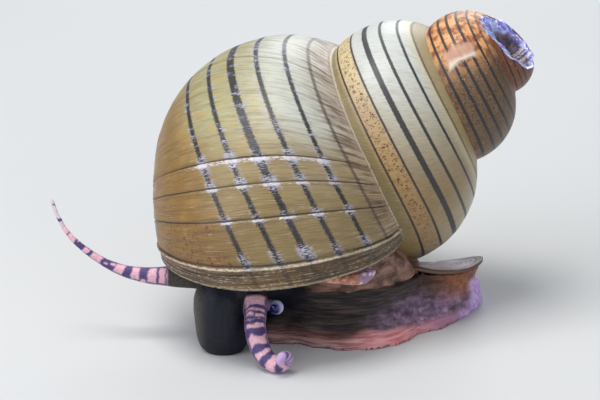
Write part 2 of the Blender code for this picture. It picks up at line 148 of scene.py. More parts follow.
def noise(points, scale=1.0, seed=0):
    """Smooth noise from -1 to 1, with features about 1/scale wide."""
    points = np.asarray(points, float) * scale
    cell = np.floor(points).astype(np.int64)
    part = points - cell
    part = part * part * (3 - 2 * part)
    total = np.zeros(len(points))
    for corner in np.ndindex(2, 2, 2):
        key = (cell + corner) @ np.array((73856093, 19349663, 83492791)) + seed * 7919
        key = ((key ^ (key >> 13)) * 1274126177) & 0x7fffffff
        key = (key ^ (key >> 15)) & 0xffff
        weight = np.prod(np.where(np.array(corner) == 1, part, 1 - part), axis=1)
        total += weight * (key / 32767.5 - 1)
    return total


def rough(points, layers):
    """Noises added up, each as its height, scale and seed."""
    return sum(height * noise(points, scale, seed) for height, scale, seed in layers)


def smooth_path(stations, count):
    """Stations read at evenly spaced places along a smooth curve through them."""
    points = np.array(stations, float)
    tangents = np.gradient(points, axis=0)
    places = np.linspace(0.0, len(points) - 1.0, count)
    spans = np.minimum(places.astype(int), len(points) - 2)
    u = (places - spans)[:, None]
    start, end = points[spans], points[spans + 1]
    pull, push = tangents[spans], tangents[spans + 1]
    return (start * (2 * u**3 - 3 * u**2 + 1) + pull * (u**3 - 2 * u**2 + u)
            + end * (3 * u**2 - 2 * u**3) + push * (u**3 - u**2))


def loft(rings):
    """Vertices and faces of a closed loft through rings that have equal point counts."""
    count = len(rings[0])
    verts = np.concatenate(rings)
    faces = []
    for low in range(len(rings) - 1):
        for a in range(count):
            b = (a + 1) % count
            faces.append((low * count + a, low * count + b,
                          (low + 1) * count + b, (low + 1) * count + a))
    faces.append(tuple(range(count - 1, -1, -1)))
    faces.append(tuple(range((len(rings) - 1) * count, len(rings) * count)))
    return verts, faces


# --------------------------------------------------------------------------- the shell

def spiral_axes():
    """The axis, from the pole to the base, and two directions across it: up, and sideways."""
    axis = -np.array([cos(AXIS_RISE) * cos(AXIS_TURN), cos(AXIS_RISE) * sin(AXIS_TURN),
                      sin(AXIS_RISE)])
    up = np.array([0.0, 0.0, 1.0]) - axis * axis[2]
    up /= np.linalg.norm(up)
    return axis, up, np.cross(axis, up)


AXIS, AXIS_UP, AXIS_SIDE = spiral_axes()


def tube_section(angle):
    """Distance out from the axis, and along it, on the oval section at the lip."""
    wide = TUBE_HALF_WIDTH * np.cos(angle)
    high = TUBE_HALF_HEIGHT * np.sin(angle)
    out = TUBE_OUT + wide * cos(TUBE_TILT) - high * sin(TUBE_TILT)
    along = TUBE_ALONG + wide * sin(TUBE_TILT) + high * cos(TUBE_TILT)
    return out, along


def suture_angles():
    """Section angles of the upper suture, the lower suture and the axis."""
    def in_last_whorl(angle):
        out, along = tube_section(angle)
        out, along = out * WHORL_GROWTH - TUBE_OUT, along * WHORL_GROWTH - TUBE_ALONG
        wide = out * cos(TUBE_TILT) + along * sin(TUBE_TILT)
        high = along * cos(TUBE_TILT) - out * sin(TUBE_TILT)
        return wide / TUBE_HALF_WIDTH, high / TUBE_HALF_HEIGHT

    def crossing(function, low, high):
        rising = function(high) > 0
        for _ in range(50):
            middle = (low + high) / 2
            if (function(middle) > 0) == rising:
                high = middle
            else:
                low = middle
        return (low + high) / 2

    def outside(angle):
        wide, high = in_last_whorl(angle)
        return wide**2 + high**2 - 1

    upper = crossing(outside, radians(-85), radians(-30))
    wide, high = in_last_whorl(upper)
    centre = crossing(lambda angle: tube_section(angle)[0], radians(90), radians(180))
    return upper, float(np.arctan2(high, wide)), centre


UPPER, LOWER, CENTRE = suture_angles()


def lip_growth(angle):
    """Growth angle of the lip at a section angle; straight on beyond the cubic's span."""
    u = (angle - UPPER) / LIP_SPAN
    inner = np.minimum(u, 1.0)
    one, two, three = LIP_SWEEP
    growth = one * inner + two * inner**2 + three * inner**3
    return growth + (one + 2 * two + 3 * three) * (u - inner)


def shell_points(growth, angle):
    """Points of the shell's surface, in millimetres, for arrays of equal shape."""
    size = WHORL_GROWTH ** (growth / (2 * pi))
    out, along = tube_section(angle)
    turn = MOUTH_PHASE - growth
    across = np.cos(turn)[..., None] * AXIS_UP + np.sin(turn)[..., None] * AXIS_SIDE
    return POLE + size[..., None] * (along[..., None] * AXIS + out[..., None] * across)


def shell_normals(growth, angle, step=1e-4):
    """Outward directions at the same places."""
    along = shell_points(growth + step, angle) - shell_points(growth - step, angle)
    around = shell_points(growth, angle + step) - shell_points(growth, angle - step)
    normal = np.cross(around, along)
    normal /= np.linalg.norm(normal, axis=-1, keepdims=True)
    return normal


def shell_relief(growth, angle, points):
    """How far the surface stands off its plain form: ridges, rests and hand-scale unevenness."""
    line = growth - lip_growth(angle)
    size = WHORL_GROWTH ** (growth / (2 * pi))
    line = line + rough(points, LINE_WANDER)
    height = rough(points, UNEVENNESS)
    # The last ridge before the lip stands up, with a groove behind it.
    height += LEDGE_HEIGHT * bump_at(line, LEDGE + 0.006, 0.012)
    height -= LEDGE_GROOVE * bump_at(line, LEDGE - 0.016, 0.010)
    height -= LEDGE_DROP * smooth_step(line, LEDGE + 0.01, LEDGE + 0.03)
    for place, depth in zip(RESTS, REST_DEPTHS):
        height -= depth * bump_at(line, place - 0.003, 0.009)
        height += REST_ROLL * bump_at(line, place + 0.012, 0.012)
        height += REST_SWELL * smooth_step(line, place - 0.15, place) * (line < place)
    for place in OLD_RESTS:
        height -= OLD_REST_DEPTH * bump_at(line, place, 0.012)
    # Fine, uneven growth lines, and a few coarse ones near the lip.
    rows = np.stack([line * 22, angle * 1.2, np.zeros_like(line)], axis=-1)
    height += GROWTH_LINES * noise(rows, 3.0, 5)
    height += LIP_LINES * noise(rows, 2.2, 6) * smooth_step(line, -0.2, -0.06)
    height += WELT * bump_at(np.degrees(angle), np.degrees(UPPER) + 2.4, 1.6)
    return height * size - TIP_WEAR * smooth_step(growth, -15.3, -17.6)


def shell_surface():
    """Vertices, quads and the growth and section angles of each quad's corners."""
    rows = int(TURNS * TURN_STEPS)
    last_turn = rows - TURN_STEPS
    width = BAND_STEPS + BASE_STEPS + 1
    row, column = np.meshgrid(np.arange(rows + 1), np.arange(width), indexing="ij")
    angle = np.where(column <= BAND_STEPS,
                     UPPER + (LOWER - UPPER) * column / BAND_STEPS,
                     LOWER + (CENTRE - LOWER) * (column - BAND_STEPS) / BASE_STEPS)
    growth = 2 * pi * (row - rows) / TURN_STEPS
    late = growth > LIP_BLEND
    share = 1 - growth / LIP_BLEND
    growth = np.where(late, LIP_BLEND + share * (lip_growth(angle) - LIP_BLEND), growth)

    index = row * width + column
    shared = (column == BAND_STEPS) & (row <= last_turn)
    index[shared] = ((row + TURN_STEPS) * width)[shared]
    points = shell_points(growth, angle).reshape(-1, 3)
    flat_growth, flat_angle = growth.ravel(), angle.ravel()
    relief = shell_relief(flat_growth, flat_angle, points)
    seam = bump_at(column.ravel(), BAND_STEPS, 2.0) * (row.ravel() <= last_turn)
    points += shell_normals(flat_growth, flat_angle) * (relief * (1 - seam))[:, None]

    kept = (column[:-1, :-1] < BAND_STEPS) | (row[:-1, :-1] >= last_turn)
    first, second = slice(None, -1), slice(1, None)
    corners = ((first, first), (second, first), (second, second), (first, second))
    quads, corner_growth, corner_angle = (
        np.stack([grid[corner][kept] for corner in corners], axis=1)
        for grid in (index, growth, angle))

    lip = index[rows, :]
    inner = list(index[rows - 1:last_turn - 1:-1, width - 1])
    inner += list(index[last_turn, width - 2:BAND_STEPS:-1])
    return points, quads, corner_growth, corner_angle, list(lip), inner


def inset_rings(loop, lip_count, steps):
    """Rings that lead inward from the mouth's loop, each an inset and a rise at the lip."""
    depth = np.zeros(len(loop))
    depth[:lip_count] = np.sin(np.linspace(0, pi, lip_count)) ** 0.5
    inward = (MOUTH_MIDDLE - loop) * (1, 1, 0.4)
    inward /= np.linalg.norm(inward, axis=1, keepdims=True)
    rings = []
    for inset, rise in steps:
        ring = loop + inward * (inset * (0.35 + 0.65 * depth))[:, None]
        ring[:, 2] += rise * depth
        rings.append(ring)
    return rings


def make_shell(looks):
    """The shell: banded outside, pale inside the lip, and a worn, pearly tip.

    It is given back with the loop of points round its mouth, and how many are on the lip.
    """
    points, quads, corner_growth, corner_angle, lip, inner = shell_surface()
    loop = np.array(lip + inner)
    mouth_loop = points[loop]
    rings = inset_rings(mouth_loop, len(lip), MOUTH_STEPS)
    count = len(loop)
    indices = [loop] + [np.arange(count) + len(points) + count * k for k in range(len(rings))]
    verts = np.concatenate([points] + rings + [(MOUTH_MIDDLE + (0, 0, MOUTH_DEPTH))[None]])
    inside = []
    for outer, nearer in zip(indices, indices[1:]):
        inside += [(outer[k - 1], outer[k], nearer[k], nearer[k - 1]) for k in range(count)]
    inside += [(indices[-1][k - 1], indices[-1][k], len(verts) - 1) for k in range(count)]
    used = np.unique(np.concatenate([quads.ravel(), [k for face in inside for k in face]]))
    renumber = np.zeros(len(verts), int)
    renumber[used] = np.arange(len(used))
    faces = renumber[quads].tolist() + [renumber[list(face)].tolist() for face in inside]
    piece = new_piece("shell_banded", verts[used], faces, looks)
    mesh = piece.data
    slots = np.zeros(len(mesh.polygons), np.int32)
    slots[len(quads):] = INSIDE_LOOK
    mesh.polygons.foreach_set("material_index", slots)
    line = corner_growth - lip_growth(corner_angle)
    for name, corners in (("growth", corner_growth), ("section", corner_angle), ("line", line)):
        values = np.zeros(len(mesh.loops), np.float32)
        values[:corners.size] = corners.ravel()
        mesh.attributes.new(name, "FLOAT", "CORNER").data.foreach_set("value", values)
    mesh.attributes.new("depth", "FLOAT", "POINT")
    wear_tip(mesh)
    return piece, mouth_loop, len(lip)


def edge_ring(edges):
    """The points of a closed line of edges, in order."""
    beside = {}
    for edge in edges:
        for a, b in (edge.verts, reversed(edge.verts)):
            beside.setdefault(a, []).append(b)
    ring = [edges[0].verts[0], edges[0].verts[1]]
    while True:
        following = [v for v in beside[ring[-1]] if v is not ring[-2]]
        if not following or following[0] is ring[0]:
            return ring
        ring.append(following[0])


def wear_tip(mesh):
    """Break the tip off across a plane, and hollow it behind a pearly rim."""
    normal = Vector(WORN_NORMAL).normalized()
    centre = Vector(POLE + WORN_FROM_POLE * AXIS) * MM
    work = bmesh.new()
    work.from_mesh(mesh)
    deep = work.verts.layers.float["depth"]
    everything = work.verts[:] + work.edges[:] + work.faces[:]
    bmesh.ops.bisect_plane(work, geom=everything, plane_co=centre, plane_no=normal,
                           clear_outer=True)
    ring = edge_ring([edge for edge in work.edges if edge.is_boundary
                      and abs((edge.verts[0].co - centre).dot(normal)) < ON_PLANE])
    middle = sum((v.co for v in ring), Vector()) / len(ring)
    aside = Vector(HOLLOW_SHIFT) * MM
    for vert, off in zip(ring, rough(np.array([v.co for v in ring]) / MM, BREAK_JAG)):
        vert.co += normal * float(off) * MM
    before = ring
    for inset, depth in HOLLOW_STEPS:
        moved = aside * min(1.0, 3.3 * inset) + normal * depth * MM
        places = [vert.co.lerp(middle, inset) + moved for vert in ring]
        grain = noise(np.array(places) / MM, 1.8, 13) * HOLLOW_GRAIN * min(1.0, inset * 4)
        nearer = [work.verts.new(p + normal * float(g) * MM) for p, g in zip(places, grain)]
        for vert in nearer:
            vert[deep] = -depth
        for k in range(len(ring)):
            face = work.faces.new((before[k - 1], before[k], nearer[k], nearer[k - 1]))
            face.material_index = PEARL_LOOK
            face.smooth = True
        before = nearer
    work.faces.new(before).material_index = PEARL_LOOK
    bmesh.ops.recalc_face_normals(work, faces=work.faces)
    if work.calc_volume(signed=True) < 0:
        bmesh.ops.reverse_faces(work, faces=work.faces)
    work.to_mesh(mesh)
    work.free()


# --------------------------------------------------------------- the body, in figures

# Foot: x, y, heading in degrees left of straight ahead, half width of the sole, height.
FOOT_STATIONS = (
    (10.95, 2.4, 20, 1.1, 1.6),
    (10.4, 2.2, 16, 2.0, 2.2),
    (9.0, 1.6, 10, 2.9, 2.7),
    (7.0, 0.7, 6, 4.0, 3.2),
    (4.8, 0.3, 2, 4.7, 3.5),
    (3.4, 0.1, 0, 5.7, 3.7),
    (2.0, 0.0, 0, 6.4, 3.8),
    (-0.8, 0.0, 0, 6.5, 4.0),
    (-4.0, 0.0, 8, 5.6, 3.8),
    (-6.6, -0.4, 26, 4.5, 2.8),
    (-8.0, -1.4, 42, 3.9, 1.9),
    (-8.7, -2.0, 48, 3.1, 1.2),
)
BACK_WIDTH = 0.66             # width of the foot's back over the sole's
BACK_SIDES = 0.84             # height of the back's sides over its middle's
BACK_FROM = 15                # degrees round it, from its side, where the flank ends
BACK_STEPS = 12
MARGIN = 0.45                 # thickness of the foot's edge
MARGIN_BEVEL = 0.12
EDGE_WAVES = ((0.10, 2.3, 0.0), (0.06, 5.1, 1.0))  # height, radians to a millimetre, phase
SOLE_SHARES = (-1.0, -0.5, 0.0, 0.5, 1.0)
FOOT_STEPS = 90
TRUNK_STATIONS = (            # x, y, z, half length, half width
    (0.0, -0.9, 2.0, 6.1, 3.9),
    (-0.4, -1.3, 4.2, 5.9, 4.0),
    (-1.2, -2.1, 5.4, 5.7, 4.1),
    (-2.8, -2.9, 6.9, 5.9, 4.3),
    (-3.7, -3.2, 9.0, 5.9, 4.3),
)
PAD_STATIONS = (              # the lobe that carries the lid: x, y, z, half length, half width
    (6.3, 0.3, 1.4, 4.0, 3.2),
    (6.4, 0.1, 2.3, 3.8, 2.8),
    (6.5, -0.3, 3.0, 3.7, 2.5),
    (6.5, -0.7, 3.55, 3.85, 2.45),
)
NECK_STATIONS = (             # x, y, z, radius
    (-4.0, -1.5, 5.0, 2.5),
    (-6.4, -1.8, 4.9, 2.25),
    (-8.8, -2.3, 4.8, 2.1),
)
HEAD_CENTRE = np.array((-9.4, -2.7, 4.7))
HEAD_HALF = np.array((2.6, 2.45, 1.9))
HEAD_HEADING = radians(48)    # the head is turned this far to the left
SNOUT_STATIONS = (
    (-10.2, -3.9, 0.0, 1.45),
    (-10.2, -3.9, 0.35, 1.75),
    (-10.24, -3.9, 1.0, 1.92),
    (-10.3, -3.9, 1.8, 1.98),
    (-10.4, -3.9, 2.8, 1.97),
    (-10.4, -3.8, 3.8, 2.0),
    (-10.2, -3.5, 5.0, 1.7),
)
# Feelers, eye stalks and the mantle's flap: x, y, z, radius.
TENTACLE_RIGHT = (
    (-9.9, -1.7, 4.65, 0.92),
    (-10.6, -1.4, 4.65, 0.90),
    (-11.9, -0.9, 4.68, 0.86),
    (-13.6, -0.5, 4.75, 0.78),
    (-15.2, -0.1, 4.8, 0.63),
    (-16.8, 0.3, 5.1, 0.48),
    (-18.2, 0.7, 5.7, 0.36),
    (-19.6, 1.1, 6.65, 0.29),
    (-20.8, 1.5, 7.8, 0.23),
    (-21.6, 2.0, 9.2, 0.19),
    (-22.0, 2.5, 10.45, 0.17),
)
TENTACLE_LEFT = (
    (-7.75, -3.5, 5.3, 0.88),
    (-7.75, -4.1, 5.0, 0.86),
    (-7.9, -4.9, 4.1, 0.84),
    (-8.1, -5.7, 3.3, 0.83),
    (-8.3, -6.6, 2.5, 0.80),
    (-8.22, -7.5, 1.65, 0.77),
    (-7.95, -8.4, 1.0, 0.73),
    (-7.47, -9.1, 0.68, 0.66),
    (-6.99, -9.4, 0.64, 0.60),
    (-6.59, -9.5, 0.92, 0.52),
    (-6.5, -9.65, 1.27, 0.45),
    (-6.76, -9.9, 1.57, 0.39),
    (-7.1, -10.15, 1.57, 0.33),
    (-7.24, -10.3, 1.3, 0.28),
    (-7.07, -10.35, 1.13, 0.22),
)
STALK_LEFT = ((-7.8, -5.1, 3.8, 0.42), (-7.1, -5.35, 3.82, 0.42), (-6.6, -5.5, 3.72, 0.44))
STALK_RIGHT = ((-10.4, 0.0, 5.0, 0.5), (-11.3, 0.65, 4.8, 0.48), (-12.0, 0.75, 4.55, 0.42))
LOBE_STATIONS = (
    (-3.1, -7.0, 6.2, 0.25),
    (-2.4, -7.2, 6.15, 0.34),
    (-1.4, -7.3, 6.12, 0.42),
    (-0.5, -7.2, 6.15, 0.45),
    (0.2, -7.0, 6.25, 0.40),
    (0.6, -6.8, 6.4, 0.28),
)
LID_HALF = (4.2, 2.7)
LID_LOW = 1.3                 # the lid sags behind its middle
LID_SAG = 0.06
LID_LEVEL = -1.5              # and is level from here forward
LID_TILT = -0.22              # it falls to the right
LID_CURL = 0.1                # and curls down there, under the shell
LID_CURL_FROM = -0.5
MANTLE_REACH = (0.06, 0.98)   # from where to where along the lip
MANTLE_RADIUS = 0.55
MANTLE_INSET = 1.25
MANTLE_RISE = 0.3
MANTLE_WAVES = ((0.15, 23), (0.1, 51))  # of its thickness
SHEET_STEPS = ((3.0, 0.9), (2.0, 0.75), (1.0, 0.7), (0.5, 0.8), (0.5, 2.0), (3.0, 2.0))
VOXEL = 0.1                   # grain of the fused skin
RELAX_ROUNDS = 6
RELAX_SHARE = 0.6             # of the way to the neighbours' middle, in each round
STACK_SIDES = 48
STACK_LOW = 0.4               # a stack of ovals goes no lower than this
FEELER_STEPS = 80
BODY_STEPS = 30
PAD_STEPS = 16
PATH_STEPS = 240
CAP_TURNS = (75, 50, 25)      # degrees round a tube's end
SIDE_FACING = (-0.25, -0.85, 0.45)      # the side of a feeler is judged from here
TUBE_SIDES = 32


def tube(stations):
    """A closed tube with rounded ends through stations (x, y, z, radius)."""
    stations = np.asarray(stations, float)
    directions = np.gradient(stations[:, :3], axis=0)
    directions /= np.linalg.norm(directions, axis=1, keepdims=True)
    across = np.cross(directions[0], (0.13, 0.0, 1.0))
    angles = np.linspace(0, 2 * pi, TUBE_SIDES, endpoint=False)[:, None]
    rings = []

    def ring(centre, direction, radius):
        nonlocal across
        across = across - direction * across.dot(direction)
        across /= np.linalg.norm(across)
        other = np.cross(direction, across)
        rings.append(centre + radius * (np.cos(angles) * across + np.sin(angles) * other))

    first, last = stations[0], stations[-1]
    for turn in np.radians(CAP_TURNS):
        ring(first[:3] - directions[0] * first[3] * sin(turn), directions[0], first[3] * cos(turn))
    for station, direction in zip(stations, directions):
        ring(station[:3], direction, station[3])
    for turn in np.radians(CAP_TURNS[::-1]):
        ring(last[:3] + directions[-1] * last[3] * sin(turn), directions[-1], last[3] * cos(turn))
    return loft(rings)


def foot():
    """The foot: flat sole, thin wavy edge, sloping side and rounded back."""
    rings = []
    for x, y, heading, half, height in smooth_path(FOOT_STATIONS, FOOT_STEPS):
        across = np.array([sin(radians(heading)), -cos(radians(heading)), 0.0])
        back = BACK_WIDTH * half
        edge = min(MARGIN, 0.5 * height)
        wide = half + sum(high * sin(rate * x + phase) for high, rate, phase in EDGE_WAVES)
        flank = ((wide, 0.5 * edge), (half - MARGIN_BEVEL, edge),
                 (0.3 * half + 0.7 * back, 0.55 * height + 0.45 * edge))
        outline = [(share * wide, 0.0) for share in SOLE_SHARES] + list(flank)
        for angle in np.radians(np.linspace(BACK_FROM, 180 - BACK_FROM, BACK_STEPS + 1)):
            rise = BACK_SIDES + (1 - BACK_SIDES) * sin(angle)
            outline.append((back * cos(angle), height * rise))
        outline += [(-a, z) for a, z in reversed(flank)]
        rings.append(np.array([np.array([x, y, 0]) + a * across + (0, 0, z) for a, z in outline]))
    return loft(rings)


def lid_fall(a, b):
    """The lid's height over its lowest place, at distances along and across."""
    sag = LID_SAG * (np.maximum(a, LID_LEVEL) - LID_LOW) ** 2
    curl = LID_CURL * np.maximum(b - LID_CURL_FROM, 0.0) ** 2 * np.clip(0.5 - a / 3, 0.0, 1.0)
    return sag + LID_TILT * b - curl


def stack(stations, count, top=lambda a, b: 0.0 * a):
    """Ovals on each other, level at the bottom; the last follows the shape of a top."""
    angles = np.linspace(0, 2 * pi, STACK_SIDES, endpoint=False)
    rings = []
    for place, (x, y, z, long_half, wide_half) in enumerate(smooth_path(stations, count)):
        a, b = long_half * np.cos(angles), wide_half * np.sin(angles)
        fall = place / (count - 1) * top(a, b)
        rings.append(np.stack([x + a, y + b, np.maximum(z + fall, STACK_LOW)], axis=1))
    return loft(rings)


def head():
    """The head, an egg turned to the left."""
    work = bmesh.new()
    bmesh.ops.create_uvsphere(work, u_segments=48, v_segments=32, radius=1.0)
    place = Matrix.Translation(HEAD_CENTRE) @ Matrix.Rotation(HEAD_HEADING, 4, "Z")
    work.transform(place @ Matrix.Diagonal((*HEAD_HALF, 1.0)))
    verts = np.array([v.co for v in work.verts])
    faces = [tuple(v.index for v in face.verts) for face in work.faces]
    work.free()
    return verts, faces


def mantle_edge():
    """The mantle's edge along the inside of the lip."""
    path = []
    for share in np.linspace(*MANTLE_REACH, 60):
        angle = np.array(UPPER + share * LIP_SPAN)
        point = shell_points(lip_growth(angle), angle)
        inward = (MOUTH_MIDDLE - point) * (1, 1, 0)
        point = point + MANTLE_INSET * inward / np.linalg.norm(inward)
        waves = sum(high * sin(rate * share) for high, rate in MANTLE_WAVES)
        path.append((*(point + (0.0, 0.0, MANTLE_RISE)), MANTLE_RADIUS * (1 + waves)))
    return tube(path)


def mantle_floor(loop, lip_count):
    """The skin that closes the shell's mouth round the trunk, a thin dished sheet."""
    rings = inset_rings(loop, lip_count, SHEET_STEPS)
    middle = MOUTH_MIDDLE + (0, 0, 1.0)
    low = middle + (rings[0] - middle) * 0.1
    high = middle + (0, 0, 1.0) + (rings[-1] - middle) * 0.1
    return loft([low] + rings + [high])


def fused(parts):
    """One closed skin round overlapping solids, as arrays: points and quads."""
    verts, faces, start = [], [], 0
    for part_verts, part_faces in parts:
        verts.append(part_verts)
        faces += [tuple(k + start for k in face) for face in part_faces]
        start += len(part_verts)
    mesh = bpy.data.meshes.new("raw_skin")
    mesh.from_pydata(np.concatenate(verts).tolist(), [], faces)
    raw = bpy.data.objects.new("raw_skin", mesh)
    bpy.context.scene.collection.objects.link(raw)
    step = raw.modifiers.new("fuse", "REMESH")
    step.mode = "VOXEL"
    step.voxel_size = VOXEL
    done = raw.evaluated_get(bpy.context.evaluated_depsgraph_get()).to_mesh()
    points = np.empty(len(done.vertices) * 3)
    done.vertices.foreach_get("co", points)
    loops = np.empty(len(done.loops), np.int32)
    done.loops.foreach_get("vertex_index", loops)
    raw.to_mesh_clear()
    bpy.data.objects.remove(raw)
    bpy.data.meshes.remove(mesh)
    return points.reshape(-1, 3), loops.reshape(-1, 4)


def point_sums(where, values, count):
    """Values added up at the points that they belong to."""
    return np.stack([np.bincount(where, values[:, k], count) for k in range(3)], axis=1)


def relax(points, quads):
    """Laplacian smoothing."""
    ends = np.concatenate([quads[:, (0, 1)], quads[:, (1, 2)], quads[:, (2, 3)], quads[:, (3, 0)]])
    ends = np.unique(np.sort(ends, axis=1), axis=0)
    count = np.bincount(ends.ravel(), minlength=len(points))[:, None]
    both = np.concatenate([ends, ends[:, ::-1]])
    for _ in range(RELAX_ROUNDS):
        total = point_sums(both[:, 0], points[both[:, 1]], len(points))
        points = points + RELAX_SHARE * (total / count - points)
    return points


def quad_normals(points, quads):
    """Outward directions at the points of a quad mesh."""
    a, b, c, d = (points[quads[:, k]] for k in range(4))
    faces = np.cross(c - a, d - b)
    total = point_sums(quads.ravel(), np.repeat(faces, 4, axis=0), len(points))
    return total / np.maximum(np.linalg.norm(total, axis=1, keepdims=True), 1e-12)


class Path:
    """Where points stand beside a smooth path through stations (x, y, z, radius)."""

    def __init__(self, points, stations):
        path = smooth_path(stations, PATH_STEPS)
        steps = np.linalg.norm(np.diff(path[:, :3], axis=0), axis=1)
        length = np.concatenate(([0.0], np.cumsum(steps)))
        directions = np.gradient(path[:, :3], axis=0)
        directions /= np.linalg.norm(directions, axis=1, keepdims=True)
        self.reach = np.full(len(points), np.inf)
        spot = np.zeros(len(points), int)
        for k, station in enumerate(path):
            distance = np.linalg.norm(points - station[:3], axis=1) / station[3]
            closer = distance < self.reach
            self.reach[closer] = distance[closer]
            spot[closer] = k
        self.gap = (self.reach - 1) * path[spot, 3]
        off = points - path[spot, :3]
        ahead = np.einsum("ij,ij->i", off, directions[spot])
        self.along = length[spot] + ahead
        side = np.cross(directions, SIDE_FACING)
        side /= np.linalg.norm(side, axis=1, keepdims=True)
        off -= directions[spot] * ahead[:, None]
        off /= np.maximum(np.linalg.norm(off, axis=1, keepdims=True), 1e-9)
        self.side = np.einsum("ij,ij->i", off, side[spot])

    def near(self):
        """1 on the path's own tube, falling to 0 a little way outside."""
        return smooth_step(self.gap, 0.24, 0.12)


def make_skin_shape(mouth_loop, lip_count):
    """The body's skin as points and quads, before its wrinkles."""
    round_parts = (STALK_LEFT, STALK_RIGHT, NECK_STATIONS, SNOUT_STATIONS, LOBE_STATIONS)
    parts = [tube(smooth_path(s, FEELER_STEPS)) for s in (TENTACLE_LEFT, TENTACLE_RIGHT)]
    parts += [tube(smooth_path(s, BODY_STEPS)) for s in round_parts]
    parts += [foot(), stack(TRUNK_STATIONS, BODY_STEPS), head(), mantle_edge(),
              stack(PAD_STATIONS, PAD_STEPS, lid_fall), mantle_floor(mouth_loop, lip_count)]
    points, quads = fused(parts)
    return relax(points, quads), quads


# ------------------------------------------------------------------------ paint helpers

def tone(red, green, blue):
    """A colour given as 0 to 255 screen values, for a shader."""
    def linear(value):
        value /= 255
        return value / 12.92 if value <= 0.04045 else ((value + 0.055) / 1.055) ** 2.4
    return (linear(red), linear(green), linear(blue), 1.0)


class Number:
    """A number in a material's nodes, with the usual signs of arithmetic."""

    def __init__(self, paint, socket):
        self.paint = paint
        self.socket = socket

    def __add__(self, other):
        return self.paint.math("ADD", self, other)

    def __sub__(self, other):
        return self.paint.math("SUBTRACT", self, other)

    def __rsub__(self, other):
        return self.paint.math("SUBTRACT", other, self)

    def __mul__(self, other):
        return self.paint.math("MULTIPLY", self, other)

    __radd__ = __add__
    __rmul__ = __mul__


class Paint:
    """A material whose nodes are made by short calls.

    A colour is what mix() gives back, or three screen values from 0 to 255.
    """

    def __init__(self, name, roughness=0.5):
        self.look = bpy.data.materials.new(name)
        self.look.use_nodes = True
        self.tree = self.look.node_tree
        self.shader = self.tree.nodes["Principled BSDF"]
        self.set("Roughness", roughness)

    def set(self, socket, value):
        self.plug(self.shader.inputs[socket], value)

    def coat(self, weight, roughness=0.03):
        """A clear coat over it all."""
        self.set("Coat Weight", weight)
        self.set("Coat Roughness", roughness)

    def plug(self, socket, value):
        """Link a socket to a value, or give it the value."""
        if isinstance(value, tuple):
            value = tone(*value)
        if isinstance(value, Number):
            value = value.socket
        if isinstance(value, bpy.types.NodeSocket):
            self.tree.links.new(value, socket)
        else:
            socket.default_value = value

    def node(self, kind, inputs, **settings):
        """A new node, with its inputs by name or number."""
        node = self.tree.nodes.new("ShaderNode" + kind)
        for name, value in settings.items():
            setattr(node, name, value)
        for name, value in inputs.items():
            self.plug(node.inputs[name], value)
        return node

    def math(self, operation, *values):
        node = self.node("Math", dict(enumerate(values)), operation=operation)
        return Number(self, node.outputs[0])

    def most(self, *values):
        """The greatest of some numbers."""
        best = values[0]
        for value in values[1:]:
            best = self.math("MAXIMUM", best, value)
        return best

    def step(self, value, low, high):
        """0 below low, 1 above high, smooth between; the other way where low is above high."""
        limits = {"Value": value, "From Min": low, "From Max": high}
        node = self.node("MapRange", limits, interpolation_type="SMOOTHSTEP")
        return Number(self, node.outputs["Result"])

    def between(self, value, low, high, soft):
        """1 between low and high, with soft ends."""
        return self.step(value, low - soft, low + soft) * self.step(value, high + soft, high - soft)

    def stroke(self, value, centre, half):
        """1 at centre, falling to 0 round the half width."""
        return self.step(self.math("ABSOLUTE", value - centre), half * 1.3, half * 0.7)

    def attribute(self, name):
        """A number that the mesh carries."""
        return Number(self, self.node("Attribute", {}, attribute_name=name).outputs["Fac"])

    def place(self):
        """Object coordinates as x, y and z numbers, in millimetres."""
        split = self.node("SeparateXYZ", {0: self.node("TexCoord", {}).outputs["Object"]})
        return [Number(self, output) * (1 / MM) for output in split.outputs]

    def vector(self, x, y, z=0.0):
        return self.node("CombineXYZ", {0: x, 1: y, 2: z}).outputs[0]

    def noise(self, where, scale=1.0, detail=2.0, roughness=0.5):
        node = self.node("TexNoise", {"Vector": where, "Scale": scale, "Detail": detail,
                                      "Roughness": roughness})
        return Number(self, node.outputs["Fac"])

    def cells(self, where, scale):
        """Distance from the nearest of many scattered points."""
        node = self.node("TexVoronoi", {"Vector": where, "Scale": scale})
        return Number(self, node.outputs["Distance"])

    def mix(self, share, first, second):
        """The first colour, turned to the second by a share."""
        node = self.node("Mix", {}, data_type="RGBA")
        sockets = {socket.identifier: socket for socket in (*node.inputs, *node.outputs)}
        for name, value in (("Factor_Float", share), ("A_Color", first), ("B_Color", second)):
            self.plug(sockets[name], value)
        return sockets["Result_Color"]

    def fade(self, value, low, high, first, second):
        """The first colour where a value is low, and the second where it is high."""
        return self.mix(self.step(value, low, high), first, second)

    def layers(self, ground, *coats):
        """Colours laid on each other, each coat as its share and its colour."""
        for share, colour in coats:
            ground = self.mix(share, ground, colour)
        return ground

    def bump(self, height, depth, under=None):
        """A relief of a height from 0 to 1 that stands for a depth in millimetres."""
        node = self.node("Bump", {"Height": height, "Distance": depth * MM})
        if under is not None:
            self.plug(node.inputs["Normal"], under)
        return node.outputs["Normal"]


# ------------------------------------------------------------------ the shell's finish

# Places across a whorl are degrees round its section; the suture above it is near -61.
BANDS = ((18.8, 1.0), (5.0, 1.0), (-7.2, 1.85), (-20.3, 1.05), (-34.8, 1.0))  # centre, half width
FAINT_BAND = (-47.3, 0.85)
SPIRE_WIDER = 1.12            # the bands take this much more of the younger whorls
BODY_WHORL = (-6.5, -5.4)     # growth over which the spire's colours give way to its own
HEMS = ((0.018, 0.07), (0.022, 0.07), (0.029, 0.17))  # white beside each rest: width, strength
SCAR = (-14.0, -13.74)        # growth, on the third whorl
SUTURE_WELT = (-61.0, -59.7)


